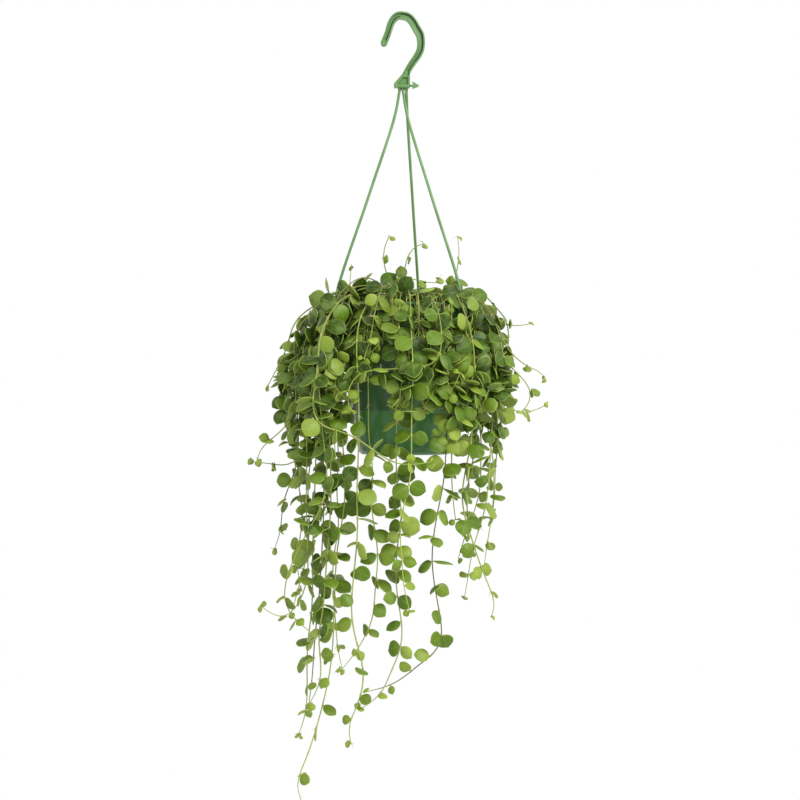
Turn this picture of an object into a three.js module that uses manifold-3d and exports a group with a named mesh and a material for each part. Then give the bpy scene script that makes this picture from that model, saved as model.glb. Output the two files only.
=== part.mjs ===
// Potted string of nickels in a hanging pot: a round tapered pot on a three-strand
// plastic hanger, its soil, and the leafy vines that mound over the rim and trail down.
// Millimetres, +Z up, +X right and -Y towards the viewer. The origin is the highest
// point inside the hook, where the whole thing hangs.

import * as THREE from 'three';
import { mergeVertices } from 'three/addons/utils/BufferGeometryUtils.js';
import Module from 'manifold-3d';

const wasm = await Module();
wasm.setup();
const { Manifold, Mesh: SolidMesh } = wasm;

// Driving dimensions
const POT_X = 3;
const RIM_Z = -305;
const POT_HEIGHT = 160;
const POT_TOP_RADIUS = 73.5;
const POT_BASE_RADIUS = 50;
const POT_WALL = 1.8;
const POT_FLOOR = 2.4;
const FOOT_RADIUS = 46;
const RIM_RADIUS = 77;
const RIM_THICKNESS = 3;
const RIM_CHAMFER = 0.8;
const FOOT_CHAMFER = 4;
const COLLAR_Z = -18;
const INNER_CORNER = 1;
const POT_SIDES = 24;
const HOLE_SIDES = 6;
const DRAIN_RADIUS = 4;
const DRAIN_RING = 30;
const DRAIN_HOLES = 6;

const LUG_RADIUS = 5.5;
const LUG_SINK = 0.4;
const LUG_SIDES = 8;
const STRAND_RING = 76.4;
const STRAND_RADIUS = 1.5;
const STRAND_HOLE = 2.5;
const BUTTON_RADIUS = 3.4;
const BUTTON_GAP = 0.35;
const STRANDS = { left: -71.2, right: 48.8, back: 168.8 };
const STRAND_TOPS = { left: -3.2, right: 0.5, back: 4.2 };
const STRAND_BEND = { at: 0.12, pull: 0.35 };
const STRAND_HEIGHTS = { straight: 12, above: 3, below: -5 };
const STRAND_SIDES = 5;
const STRAND_STEPS = 10;

const HOOK_WIDTH = 9;
const HOOK_DEPTH = 7.6;
const FLANGE = 1.8;
const WEB = 2.8;
const BASE_TOP_Z = -67.5;
const BASE_BOTTOM_Z = -73;
const HOOK_STEPS = 17;
const HOOK_NARROWING = 1;
const HOOK_TIP_RADIUS = 3.5;
const POCKET_SPAN = [0.02, 0.97];
const BARB_DEPTH = 2.4;
const NUB_LENGTH = 3;
const NUB_RADIUS = 1.8;
const NUB_GAP = 0.3;

const SOIL_Z = -14;
const SOIL_GAP = 0.4;
const SOIL_DRAFT = 0.3;
const STEM_RADIUS = 1.6;
const STEM_SIDES = 3;
const STEM_HOLE_RADIUS = 3.3;
const STEM_HOLE_SIDES = 4;
const ROOT_DEPTH = 8;
const ROOT_RADII = [56, 44, 32, 20];
const ROOT_SPACING = 7;
const ROOT_TURN = 0.1;
const ROOT_TURNS = 20;
const CREST_RISE = [2, 9];
const RISE_PER_INSET = 0.3;

// Where a vine turns down over the rim: how far outside its first point, and its height
// as a share of that point's height and of the crest's rise. A vine that starts lower
// than the pot's middle takes the wide shoulder.
const WIDE_SHOULDER = { out: 3, drop: 0.3, lift: 0.5 };
const CLOSE_SHOULDER = { out: -2, drop: 0.5, lift: 0 };

const LEAF_LENGTH = 22;
const LEAF_WIDTH = 20;
const LEAF_THICKNESS = 2;
const LEAF_SUNK = 0.5;
const LEAF_SIZE = [0.82, 1.06];
const YOUNGEST_SIZE = 0.45;
const GROWTH_PER_NODE = 0.16;
const LEAF_DROOP = [0.15, 0.85];
const LEAF_SPIN = 40;
const LEAF_ROLL = 45;
const LIGHT_OUTWARD = 0.8;
const LIGHT_UPWARD = 0.6;
const LEAF_CLEARANCE = 0.45;
const OWN_GAP = 4.5;
const TRAIL_INTERNODE = 26;
const CROWN_INTERNODE = 22;
const BARE_SHARE = 0.13;
const LEAFLESS_EVERY = 3;

const JOIN_TOLERANCE = 0.12;
const DENSE_STEP = 5;
const STEM_CLEARANCE = 8.5;
const RIM_CLEARANCE = 11;
const RIM_MIDDLE_Z = -2;
const WALL_CLEARANCE = 8;
const NEAR_WALL = 0.9;
const SMOOTHING = 0.3;
const RELAX_ROUNDS = 24;
const STRANDS_COUNT_TO = 120;

const FINISHES = {
  pot: { color: '#1f5a30', roughness: 0.25 },
  soil: { color: '#33241a', roughness: 0.95 },
  hanger: { color: '#5f9a4c', roughness: 0.4 },
  vine: { color: '#6f9a35', roughness: 0.45 },
};

// Vines traced from the front. depth is how far they hang in front of the pot's axis,
// and each point is [right of the axis, up from the rim]. bare is a stretch, in heights,
// where the stem has no leaves.
const TRAILS = [
  { depth: 72, path: [[-65, -146], [-63, -211], [-71, -256], [-74, -319], [-77, -376],
    [-89, -430], [-103, -475], [-115, -503], [-108, -518]] },
  { depth: 38, path: [[-94, -146], [-96, -210], [-98, -274], [-98, -319], [-102, -349],
    [-104, -381], [-103, -413], [-106, -438], [-112, -453]] },
  { depth: 62, path: [[-86, -146], [-85, -210], [-88, -274], [-91, -319], [-95, -354],
    [-97, -392], [-101, -421]] },
  { depth: 84, path: [[-78, -146], [-77, -210], [-82, -274], [-85, -319], [-91, -352],
    [-86, -376], [-89, -400], [-99, -415]] },
  { depth: 96, path: [[-85, -135], [-80, -186], [-85, -210], [-100, -236], [-113, -261],
    [-124, -290], [-126, -308], [-119, -323], [-102, -337], [-92, -345]] },
  { depth: 20, path: [[-113, -146], [-117, -179], [-128, -203], [-132, -223], [-131, -239],
    [-135, -253], [-139, -260]] },
  { depth: 52, path: [[-103, -146], [-104, -210], [-102, -263], [-103, -295], [-112, -316],
    [-125, -332], [-138, -330], [-152, -317]] },
  { depth: -22, path: [[-116, -146], [-115, -201], [-110, -220], [-112, -242], [-116, -263],
    [-117, -285], [-113, -306]] },
  { depth: 30, path: [[-100, -135], [-113, -167], [-125, -174], [-145, -168], [-164, -167]] },
  { depth: 50, path: [[-113, -108], [-129, -135], [-145, -146], [-157, -156], [-155, -164]] },
  { depth: 10, path: [[-124, -44], [-137, -68], [-147, -88]] },
  { depth: 100, bare: [-152, -84], path: [[-48, -97], [-48, -146], [-50, -200],
    [-49, -238], [-53, -280], [-56, -322], [-52, -345], [-42, -381], [-45, -403],
    [-52, -422], [-61, -437], [-56, -454]] },
  { depth: 90, bare: [-152, -84], path: [[-38, -97], [-38, -146], [-33, -169],
    [-36, -213], [-30, -242], [-28, -266], [-32, -301], [-33, -328], [-40, -342],
    [-50, -361], [-66, -380]] },
  { depth: 92, path: [[-9, -124], [-9, -189], [-3, -217], [-8, -247], [-10, -274],
    [-9, -304], [-3, -333], [-4, -357], [-17, -385], [-25, -407], [-45, -419]] },
  { depth: 106, path: [[6, -146], [6, -179], [1, -199], [-4, -219], [-6, -240], [-3, -274],
    [-2, -295], [4, -317]] },
  { depth: 84, path: [[42, -146], [40, -184], [31, -228], [27, -261], [28, -281], [35, -322],
    [39, -349], [30, -366], [15, -373], [-6, -393], [-24, -400], [-40, -403]] },
  { depth: 70, path: [[48, -146], [48, -183], [49, -205], [52, -226]] },
  { depth: 76, path: [[68, -146], [60, -185], [58, -210], [67, -240], [77, -272],
    [86, -294], [96, -321], [89, -326]] },
  { depth: -40, path: [[77, -146], [73, -172], [66, -205], [69, -242], [62, -258],
    [58, -274]] },
  { depth: 40, path: [[90, -146], [87, -197], [81, -229], [72, -253], [68, -274],
    [65, -295], [62, -310]] },
  { depth: 10, path: [[99, -146], [95, -183], [96, -200], [90, -238], [85, -270],
    [84, -278]] },
];

const RUNNERS = [
  { depth: -10, path: [[74, -2], [94, -17], [115, -24], [135, -20]] },
  { depth: 30, path: [[101, -39], [114, -56], [137, -72], [148, -70], [147, -78]] },
  { depth: 50, path: [[101, -60], [120, -76], [133, -89], [133, -107], [122, -114]] },
  { depth: 0, path: [[96, -76], [106, -111], [137, -116], [151, -107]] },
  { depth: 112, path: [[-89, -71], [-96, -108], [-89, -129], [-59, -135], [-33, -153],
    [-11, -168], [7, -169], [26, -165]] },
  { depth: 112, path: [[37, -44], [33, -66], [-6, -70], [-24, -71], [-47, -72], [-58, -85],
    [-61, -97], [-57, -113]] },
  { depth: 104, path: [[-7, -62], [-6, -90], [13, -96], [35, -105], [50, -91], [56, -74]] },
  { depth: 84, path: [[-42, -7], [-16, -9], [13, -13], [33, -6], [45, 4]] },
];

const CROWN_TIPS = [
  { depth: 20, path: [[-10, 11], [-20, 29], [-24, 46], [-24, 62], [-17, 72]] },
  { depth: 0, path: [[-2, 15], [-2, 37], [4, 59], [13, 68], [20, 65]] },
  { depth: 30, path: [[48, 6], [54, 32], [57, 46], [58, 59], [55, 71]] },
  { depth: 36, path: [[-22, 15], [-11, 27], [13, 26], [33, 18], [39, 20], [36, 26]] },
  { depth: 26, path: [[-52, 0], [-61, 14], [-59, 26], [-57, 40]] },
];

// Vines at the back: [degrees round from the right, lowest point below the rim]
const BACK_TRAILS = [[156, -330], [139, -400], [52, -250], [31, -220]];
const BACK_RADIUS = 108;

// The skirt of shorter vines: close together round the back, and a few at the front that
// stop high and show the pot. Degrees are round from the right.
const BACK_SKIRT = { vines: 12, from: 6, step: 14.6, jitter: 3, lowest: [-165, -95] };
const FRONT_SKIRT = { at: [226, 252, 278, 343], lowest: [-66, -54] };
const SKIRT_RADIUS = [97, 116];

// How a vine that isn't traced wanders down: where it starts, and its steps
const WANDER_TOP = -36;
const WANDER_STEP = 34;
const WANDER_TURN = 0.11;
const WANDER_OUT = [-5, 6];
const WANDER_TIP_OUT = 3;

const RISE_SEED = 8;
const LEAF_SEED = 2;
const SKIRT_SEED = 200;
const BACK_SEED = 300;

const vector = (x, y, z) => new THREE.Vector3(x, y, z);
const radians = THREE.MathUtils.degToRad;
const polar = (radius, angle, z) =>
  vector(radius * Math.cos(angle), radius * Math.sin(angle), z);

// Every random draw comes from one of these, so each run gives the same plant.
function drawsFrom(seed) {
  let state = seed * 7919 + 17;
  const draw = (low, high) => {
    state = (state * 1664525 + 1013904223) % 4294967296;
    return low + (high - low) * (state / 4294967296);
  };
  draw(0, 1);
  draw(0, 1);
  return draw;
}

// Solids and their joins
function solidOf(geometry) {
  const bare = geometry.clone();
  bare.deleteAttribute('normal');
  bare.deleteAttribute('uv');
  const merged = mergeVertices(bare, 1e-4);
  return new Manifold(new SolidMesh({
    numProp: 3,
    vertProperties: new Float32Array(merged.attributes.position.array),
    triVerts: new Uint32Array(merged.index.array),
  }));
}

function geometryOf(solid) {
  const mesh = solid.getMesh();
  const geometry = new THREE.BufferGeometry();
  geometry.setAttribute('position', new THREE.BufferAttribute(mesh.vertProperties, 3));
  geometry.setIndex(new THREE.BufferAttribute(mesh.triVerts, 1));
  geometry.computeVertexNormals();
  return geometry;
}

// Drops the slivers that a join leaves where a blade's root meets its stem.
function tidied(solid) {
  return solid.asOriginal().simplify(JOIN_TOLERANCE);
}

function upright(radius, height, sides, x, y, bottom) {
  const geometry = new THREE.CylinderGeometry(radius, radius, height, sides);
  geometry.rotateX(Math.PI / 2);
  geometry.translate(x, y, bottom + height / 2);
  return solidOf(geometry);
}

function turned(profile, sides) {
  const points = profile.map(([radius, z]) => new THREE.Vector2(radius, z));
  const geometry = new THREE.LatheGeometry(points, sides);
  geometry.rotateX(Math.PI / 2);
  return solidOf(geometry);
}

function ringOf(radius, sides) {
  const shape = new THREE.Shape();
  for (let side = 0; side < sides; side += 1) {
    const angle = (2 * Math.PI * side) / sides;
    shape[side ? 'lineTo' : 'moveTo'](radius * Math.cos(angle), radius * Math.sin(angle));
  }
  return shape;
}

function tube(path, radius, sides, steps) {
  return solidOf(new THREE.ExtrudeGeometry(ringOf(radius, sides), {
    extrudePath: path,
    steps,
    curveSegments: 1,
  }));
}

// Pot
const strandSpot = (name) => {
  const angle = radians(STRANDS[name]);
  return vector(STRAND_RING * Math.sin(angle), -STRAND_RING * Math.cos(angle), 0);
};

function potOuterRadius(z) {
  const share = (z + POT_HEIGHT) / POT_HEIGHT;
  return POT_BASE_RADIUS + (POT_TOP_RADIUS - POT_BASE_RADIUS) * share;
}

function pot() {
  const inside = (z) => potOuterRadius(z) - POT_WALL;
  const floorZ = POT_FLOOR - POT_HEIGHT;
  let solid = turned([
    [0, -POT_HEIGHT],
    [FOOT_RADIUS, -POT_HEIGHT],
    [POT_BASE_RADIUS, FOOT_CHAMFER - POT_HEIGHT],
    [potOuterRadius(COLLAR_Z), COLLAR_Z],
    [POT_TOP_RADIUS, -RIM_THICKNESS],
    [RIM_RADIUS, -RIM_THICKNESS],
    [RIM_RADIUS, -RIM_CHAMFER],
    [RIM_RADIUS - RIM_CHAMFER, 0],
    [inside(0), 0],
    [inside(COLLAR_Z), COLLAR_Z],
    [inside(floorZ) - INNER_CORNER, floorZ],
    [0, floorZ],
  ], POT_SIDES);
  for (const name of Object.keys(STRANDS)) {
    const { x, y } = strandSpot(name);
    solid = solid.add(
      upright(LUG_RADIUS, RIM_THICKNESS - LUG_SINK, LUG_SIDES, x, y, -RIM_THICKNESS));
  }
  for (const name of Object.keys(STRANDS)) {
    const { x, y } = strandSpot(name);
    solid = solid.subtract(
      upright(STRAND_HOLE, 3 * RIM_THICKNESS, HOLE_SIDES, x, y, -2 * RIM_THICKNESS));
  }
  solid = solid.subtract(turned([
    [0, floorZ],
    [inside(floorZ) - INNER_CORNER, floorZ],
    [inside(COLLAR_Z), COLLAR_Z],
    [inside(0), 0],
    [inside(0), LUG_RADIUS],
    [0, LUG_RADIUS],
  ], POT_SIDES));
  for (let hole = 0; hole < DRAIN_HOLES; hole += 1) {
    const { x, y } = polar(DRAIN_RING, (2 * Math.PI * (hole + 0.5)) / DRAIN_HOLES, 0);
    solid = solid.subtract(
      upright(DRAIN_RADIUS, 4 * POT_FLOOR, HOLE_SIDES, x, y, -POT_HEIGHT - POT_FLOOR));
  }
  return solid;
}

function soil(roots) {
  const inside = (z) => potOuterRadius(z) - POT_WALL - SOIL_GAP;
  const bottom = POT_FLOOR + SOIL_GAP - POT_HEIGHT;
  const solid = turned([
    [0, bottom],
    [inside(bottom) - INNER_CORNER - SOIL_GAP, bottom],
    [inside(COLLAR_Z) - SOIL_DRAFT, COLLAR_Z],
    [inside(SOIL_Z) - SOIL_DRAFT, SOIL_Z],
    [0, SOIL_Z],
  ], POT_SIDES);
  const bore = SOIL_Z - ROOT_DEPTH - 1;
  const holes = roots.map(({ x, y }) =>
    upright(STEM_HOLE_RADIUS, 2 * ROOT_DEPTH, STEM_HOLE_SIDES, x, y, bore));
  return solid.subtract(Manifold.union(holes));
}

// Hanger
const HOOK_LINE = [[-19.9, -25.2], [-15.7, -14.7], [-12.3, -4.1], [-8.6, 1.5], [-4.8, 4],
  [-0.2, 4.2], [5.8, 2.6], [11, -2.6], [14.8, -9.4], [18.6, -16.2], [19.7, -22.1],
  [19.7, -28.2], [18.6, -33.5], [15.5, -39.5], [11.8, -44.8], [7.3, -51.6], [3.4, -59]];
const HOOK_FOOT = [[-9.3, BASE_BOTTOM_Z], [8, BASE_BOTTOM_Z], [8, -57], [1, -57],
  [-9.3, BASE_TOP_Z - 1.5]];
const FOOT_POCKET = [[-5, BASE_BOTTOM_Z + 3.5], [6, BASE_BOTTOM_Z + 3.5], [6, -62], [0.5, -62]];
const HOOK_BARB = [[7.5, BASE_TOP_Z - 4.6], [10.4, BASE_TOP_Z - 6.6],
  [17.9, BASE_TOP_Z - 3.3], [10.4, BASE_TOP_Z + 1.2], [7.5, BASE_TOP_Z - 0.6]];

// The hook's outline from one share of its length to another, slimmer towards both ends
function hookShape(halfWidth, from, to) {
  const line = new THREE.CatmullRomCurve3(HOOK_LINE.map(([x, z]) => vector(x, z, 0)));
  const left = [];
  const right = [];
  for (let step = 0; step <= HOOK_STEPS; step += 1) {
    const share = from + ((to - from) * step) / HOOK_STEPS;
    const point = line.getPoint(share);
    const along = line.getTangent(share);
    const half = halfWidth - HOOK_NARROWING * (Math.cos(2 * Math.PI * share) + 1) / 2;
    left.push(new THREE.Vector2(point.x - along.y * half, point.y + along.x * half));
    right.push(new THREE.Vector2(point.x + along.y * half, point.y - along.x * half));
  }
  return new THREE.Shape([...left, ...right.reverse()]);
}

function slab(shape, depth, front) {
  const geometry = new THREE.ExtrudeGeometry(shape, { depth, bevelEnabled: false });
  geometry.rotateX(Math.PI / 2);
  geometry.translate(0, front + depth, 0);
  return solidOf(geometry);
}

function outline(points) {
  return new THREE.Shape(points.map(([x, z]) => new THREE.Vector2(x, z)));
}

function hook() {
  const front = -HOOK_DEPTH / 2;
  let solid = slab(hookShape(HOOK_WIDTH / 2, 0, 1), HOOK_DEPTH, front);
  const [tipX, tipZ] = HOOK_LINE[0];
  const tip = new THREE.CylinderGeometry(HOOK_TIP_RADIUS, HOOK_TIP_RADIUS, HOOK_DEPTH, 8);
  tip.translate(tipX, 0, tipZ);
  solid = solid.add(solidOf(tip));
  solid = solid.add(slab(outline(HOOK_FOOT), HOOK_DEPTH, front));
  solid = solid.add(slab(outline(HOOK_BARB), BARB_DEPTH, -BARB_DEPTH / 2));
  const pocket = hookShape(HOOK_WIDTH / 2 - FLANGE, ...POCKET_SPAN);
  const pocketDepth = (HOOK_DEPTH - WEB) / 2;
  for (const shape of [pocket, outline(FOOT_POCKET)]) {
    solid = solid.subtract(slab(shape, pocketDepth + 1, front - 1));
    solid = solid.subtract(slab(shape, pocketDepth + 1, -front - pocketDepth));
  }
  for (const x of Object.values(STRAND_TOPS)) {
    solid = solid.add(
      upright(NUB_RADIUS, NUB_LENGTH + 0.5, HOLE_SIDES, x, 0, BASE_BOTTOM_Z - NUB_LENGTH));
  }
  return solid;
}

// A strand leaves its nub straight down, fans out to the rim and ends in a button
// under its lug.
function strandPoints(name) {
  const topZ = BASE_BOTTOM_Z - NUB_LENGTH - NUB_GAP - RIM_Z;
  const top = vector(STRAND_TOPS[name] - POT_X, 0, topZ);
  const spot = strandSpot(name);
  const bend = top.clone().lerp(spot, STRAND_BEND.at);
  bend.x += (top.x - bend.x) * STRAND_BEND.pull;
  bend.y += (top.y - bend.y) * STRAND_BEND.pull;
  const middle = top.clone().lerp(spot, 0.5);
  const { straight, above, below } = STRAND_HEIGHTS;
  const ends = [straight, above, below].map((z) => spot.clone().setZ(z));
  return [top, bend, middle, ...ends];
}

function strand(name) {
  const path = new THREE.CatmullRomCurve3(strandPoints(name));
  const button = new THREE.SphereGeometry(BUTTON_RADIUS, 6, 4);
  button.rotateX(Math.PI / 2);
  const { x, y } = strandSpot(name);
  button.translate(x, y, -RIM_THICKNESS - BUTTON_GAP - BUTTON_RADIUS);
  return tube(path, STRAND_RADIUS, STRAND_SIDES, STRAND_STEPS).add(solidOf(button));
}

// Routes of the vines
function onTrace({ depth, path }) {
  return path.map(([x, z]) => vector(x, -depth, z));
}

// Each root takes the first free place inward from the side where its vine leaves.
function rootFor(angle, roots) {
  for (let turn = 0; turn < ROOT_TURNS; turn += 1) {
    for (const radius of ROOT_RADII) {
      for (const way of [1, -1]) {
        const spot = polar(radius, angle + way * turn * ROOT_TURN, 0);
        if (roots.every((root) => root.distanceTo(spot) >= ROOT_SPACING)) {
          roots.push(spot);
          return spot;
        }
      }
    }
  }
  throw new Error('no room for another root');
}

// A vine comes straight up out of the soil. One that leaves over the rim goes on to a
// crest and a shoulder before its own points.
function rootedRoute(points, roots, rise) {
  const first = points[0];
  const angle = Math.atan2(first.y, first.x);
  const root = rootFor(angle, roots);
  const start = root.clone().setZ(SOIL_Z - ROOT_DEPTH);
  const out = root.clone().setZ(SOIL_Z - ROOT_DEPTH + TRAIL_INTERNODE);
  const reach = Math.hypot(first.x, first.y);
  if (reach < POT_TOP_RADIUS) {
    return [start, out, ...points];
  }
  const lift = rise + RISE_PER_INSET * (ROOT_RADII[0] - Math.hypot(root.x, root.y));
  const crest = out.clone().lerp(polar(reach, angle, 0), 0.5).setZ(lift);
  const { out: further, drop, lift: share } = first.z < -POT_HEIGHT / 2
    ? WIDE_SHOULDER
    : CLOSE_SHOULDER;
  const shoulder = polar(reach + further, angle, drop * first.z + share * rise);
  return [start, out, crest, shoulder, ...points];
}

function skirtTraces() {
  const draw = drawsFrom(SKIRT_SEED);
  const traces = [];
  for (let vine = 0; vine < BACK_SKIRT.vines; vine += 1) {
    const degrees = BACK_SKIRT.from + BACK_SKIRT.step * vine;
    const turned = degrees + draw(-BACK_SKIRT.jitter, BACK_SKIRT.jitter);
    traces.push(wander(turned, draw(...SKIRT_RADIUS), draw(...BACK_SKIRT.lowest), draw));
  }
  for (const degrees of FRONT_SKIRT.at) {
    traces.push(wander(degrees, draw(...SKIRT_RADIUS), draw(...FRONT_SKIRT.lowest), draw));
  }
  return traces;
}

function wander(degrees, radius, lowest, draw) {
  const points = [];
  let angle = radians(degrees);
  let reach = radius;
  for (let z = WANDER_TOP; z > lowest; z -= WANDER_STEP) {
    points.push(polar(reach, angle, z));
    angle += draw(-WANDER_TURN, WANDER_TURN);
    reach += draw(...WANDER_OUT);
  }
  points.push(polar(reach + WANDER_TIP_OUT, angle, lowest));
  return points;
}

function densePoints(points) {
  const curve = new THREE.CatmullRomCurve3(points);
  const spans = points.length - 1;
  const dense = [];
  for (let span = 0; span < spans; span += 1) {
    const steps = Math.ceil(points[span].distanceTo(points[span + 1]) / DENSE_STEP);
    for (let step = 0; step < steps; step += 1) {
      dense.push(curve.getPoint((span + step / steps) / spans));
    }
  }
  dense.push(points[spans].clone());
  return dense;
}

function nearestOn(point, others) {
  let nearest = null;
  let least = Infinity;
  for (const other of others) {
    const distance = point.distanceToSquared(other);
    if (distance < least) {
      least = distance;
      nearest = other;
    }
  }
  return nearest;
}

function pushClear(point, other, clearance) {
  const away = point.clone().sub(other);
  const distance = away.length();
  if (distance < clearance) {
    point.addScaledVector(away, (clearance - distance) / Math.max(distance, 0.01));
  }
}

// A vine that would cross the rim, the pot's wall, a strand or an earlier vine bends clear.
function relax(dense, fixed, earlier) {
  for (let round = 0; round < RELAX_ROUNDS; round += 1) {
    for (let index = fixed; index < dense.length; index += 1) {
      const point = dense[index];
      const next = dense[index + 1];
      if (next) {
        point.lerp(dense[index - 1].clone().lerp(next, 0.5), SMOOTHING);
      }
      if (earlier.length) {
        pushClear(point, nearestOn(point, earlier), STEM_CLEARANCE);
      }
      const reach = Math.hypot(point.x, point.y);
      const rim = vector(point.x, point.y, 0).multiplyScalar(POT_TOP_RADIUS / reach);
      rim.z = RIM_MIDDLE_Z;
      pushClear(point, rim, RIM_CLEARANCE);
      if (point.z < 0 && reach > NEAR_WALL * POT_TOP_RADIUS) {
        const wall = potOuterRadius(Math.max(point.z, -POT_HEIGHT)) + WALL_CLEARANCE;
        const share = Math.max(1, wall / reach);
        point.x *= share;
        point.y *= share;
      }
    }
  }
}

function evenNodes(dense, internode) {
  const lengths = [0];
  for (let index = 1; index < dense.length; index += 1) {
    lengths.push(lengths[index - 1] + dense[index].distanceTo(dense[index - 1]));
  }
  const total = lengths[lengths.length - 1];
  const count = Math.round(total / internode);
  const nodes = [];
  let span = 1;
  for (let node = 0; node <= count; node += 1) {
    const target = (total * node) / count;
    while (span < dense.length - 1 && lengths[span] < target) {
      span += 1;
    }
    const share = (target - lengths[span - 1]) / (lengths[span] - lengths[span - 1]);
    nodes.push(dense[span - 1].clone().lerp(dense[span], share));
  }
  return nodes;
}

// A stem's centre line: straight between its leaf nodes
class StemLine extends THREE.Curve {
  constructor(nodes) {
    super();
    this.nodes = nodes;
  }

  getUtoTmapping(share) {
    return share;
  }

  getPoint(share) {
    const last = this.nodes.length - 1;
    const place = Math.min(Math.max(share, 0), 1) * last;
    const index = Math.min(Math.floor(place), last - 1);
    return this.nodes[index].clone().lerp(this.nodes[index + 1], place - index);
  }
}

// Leaves
const SPIN_CHOICES = [0, 30, -30, 60, -60, 90, -90];

// How the leaf of one node sits: its direction, the way its face looks, and its size.
function leafPose(nodes, node, side, traits, choice) {
  const here = nodes[node];
  const next = nodes[Math.min(node + 1, nodes.length - 1)];
  const along = next.clone().sub(nodes[node - 1]).normalize();
  const light = vector(here.x, here.y, 0).setLength(LIGHT_OUTWARD).setZ(LIGHT_UPWARD);
  const across = along.clone().cross(light).normalize();
  const outward = across.clone().cross(along);
  const spin = radians(traits.spin + SPIN_CHOICES[choice]);
  const direction = across.multiplyScalar(Math.cos(spin));
  direction.addScaledVector(outward, Math.sin(spin)).multiplyScalar(side);
  direction.z -= traits.droop;
  direction.normalize();
  const face = light.addScaledVector(direction, -light.dot(direction)).normalize();
  face.applyAxisAngle(direction, radians(traits.roll));
  return { here, direction, face, size: traits.size };
}

function leafTraits(draw, node, last) {
  const growth = Math.min(1, YOUNGEST_SIZE + GROWTH_PER_NODE * (last - node));
  return {
    bare: draw(0, 1) < BARE_SHARE && node < last - 1,
    spin: draw(-LEAF_SPIN, LEAF_SPIN),
    droop: draw(...LEAF_DROOP),
    roll: draw(-LEAF_ROLL, LEAF_ROLL),
    size: draw(...LEAF_SIZE) * growth,
  };
}

const LEAF_BLANK = (() => {
  const geometry = new THREE.SphereGeometry(1, 6, 2);
  geometry.rotateX(Math.PI / 2);
  return geometry;
})();

function leaf({ here, direction, face, size }, clearance) {
  const long = LEAF_LENGTH * size;
  const geometry = LEAF_BLANK.clone();
  geometry.scale(long / 2 + clearance, (LEAF_WIDTH * size) / 2 + clearance,
    LEAF_THICKNESS / 2 + clearance);
  geometry.translate(long / 2 - LEAF_SUNK, 0, 0);
  const width = face.clone().cross(direction);
  const place = new THREE.Matrix4().makeBasis(direction, width, face).setPosition(here);
  geometry.applyMatrix4(place);
  return solidOf(geometry);
}

const touches = (box, other) =>
  [0, 1, 2].every((axis) => box.min[axis] < other.max[axis] && box.max[axis] > other.min[axis]);

class Crowd {
  constructor() {
    this.members = [];
  }

  add(solid, owner) {
    this.members.push({ solid, owner, box: solid.boundingBox() });
  }

  blocks(solid, owner) {
    const box = solid.boundingBox();
    return this.members.some((member) => {
      if (member.owner === owner || !touches(box, member.box)) {
        return false;
      }
      const shared = solid.intersect(member.solid);
      const blocked = !shared.isEmpty();
      shared.delete();
      return blocked;
    });
  }
}

function routes(roots) {
  const plans = [];
  const plan = (family, points, internode, rise, bare = [0, 0]) => {
    plans.push({ family, internode, bare, points: rootedRoute(points, roots, rise) });
  };
  const draw = drawsFrom(RISE_SEED);
  const rise = () => draw(...CREST_RISE);
  CROWN_TIPS.forEach((trace) => plan('crown', onTrace(trace), CROWN_INTERNODE, 0));
  RUNNERS.forEach((trace) => plan('runner', onTrace(trace), CROWN_INTERNODE, rise()));
  TRAILS.forEach((trace) =>
    plan('trail', onTrace(trace), TRAIL_INTERNODE, rise(), trace.bare));
  BACK_TRAILS.forEach(([degrees, lowest], index) => {
    const points = wander(degrees, BACK_RADIUS, lowest, drawsFrom(BACK_SEED + index));
    plan('back', points, TRAIL_INTERNODE, rise());
  });
  skirtTraces().forEach((points) => plan('skirt', points, CROWN_INTERNODE, rise()));
  return plans;
}

function grow(hardware) {
  const roots = [];
  const plans = routes(roots);
  const settled = Object.keys(STRANDS).flatMap((name) =>
    densePoints(strandPoints(name)).filter(({ z }) => z < STRANDS_COUNT_TO));
  plans.forEach((plan) => {
    const dense = densePoints(plan.points);
    relax(dense, Math.ceil(TRAIL_INTERNODE / DENSE_STEP) + 1, settled);
    settled.push(...dense);
    plan.nodes = evenNodes(dense, plan.internode);
  });
  const crowd = new Crowd();
  const soilSolid = soil(roots);
  [...hardware, soilSolid].forEach((solid) => crowd.add(solid, 'hardware'));
  const counts = {};
  plans.forEach((plan) => {
    counts[plan.family] = (counts[plan.family] ?? 0) + 1;
    plan.name = `${plan.family}_vine_${String(counts[plan.family]).padStart(2, '0')}`;
    const spans = plan.nodes.length - 1;
    plan.stem = tube(new StemLine(plan.nodes), STEM_RADIUS, STEM_SIDES, spans);
    crowd.add(plan.stem, plan.name);
  });
  plans.forEach((plan, index) => {
    const draw = drawsFrom(LEAF_SEED + index);
    const last = plan.nodes.length - 1;
    const leaves = [];
    for (let node = 1; node <= last; node += 1) {
      const pair = [leafTraits(draw, node, last), leafTraits(draw, node, last)];
      const turn = (node >> 1) % 2;
      const traits = pair[turn];
      const side = turn ? -1 : 1;
      const { z } = plan.nodes[node];
      const [low, high] = plan.bare;
      const leafless = traits.bare || (z > low && z < high)
        || (node % LEAFLESS_EVERY === 0 && node < last - 1);
      const choices = leafless ? [] : SPIN_CHOICES.keys();
      for (const choice of choices) {
        const pose = leafPose(plan.nodes, node, side, traits, choice);
        const further = pose.here.clone().addScaledVector(pose.direction, OWN_GAP);
        const probe = leaf(pose, LEAF_CLEARANCE);
        const ownProbe = leaf({ ...pose, here: further }, 0);
        if (!crowd.blocks(probe, plan.name) && ownProbe.intersect(plan.stem).isEmpty()) {
          const blade = leaf(pose, 0);
          leaves.push(blade);
          crowd.add(blade, 'leaf');
          break;
        }
      }
    }
    plan.solid = tidied(Manifold.union([plan.stem, ...leaves]));
  });
  return { soilSolid, plans };
}

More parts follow.
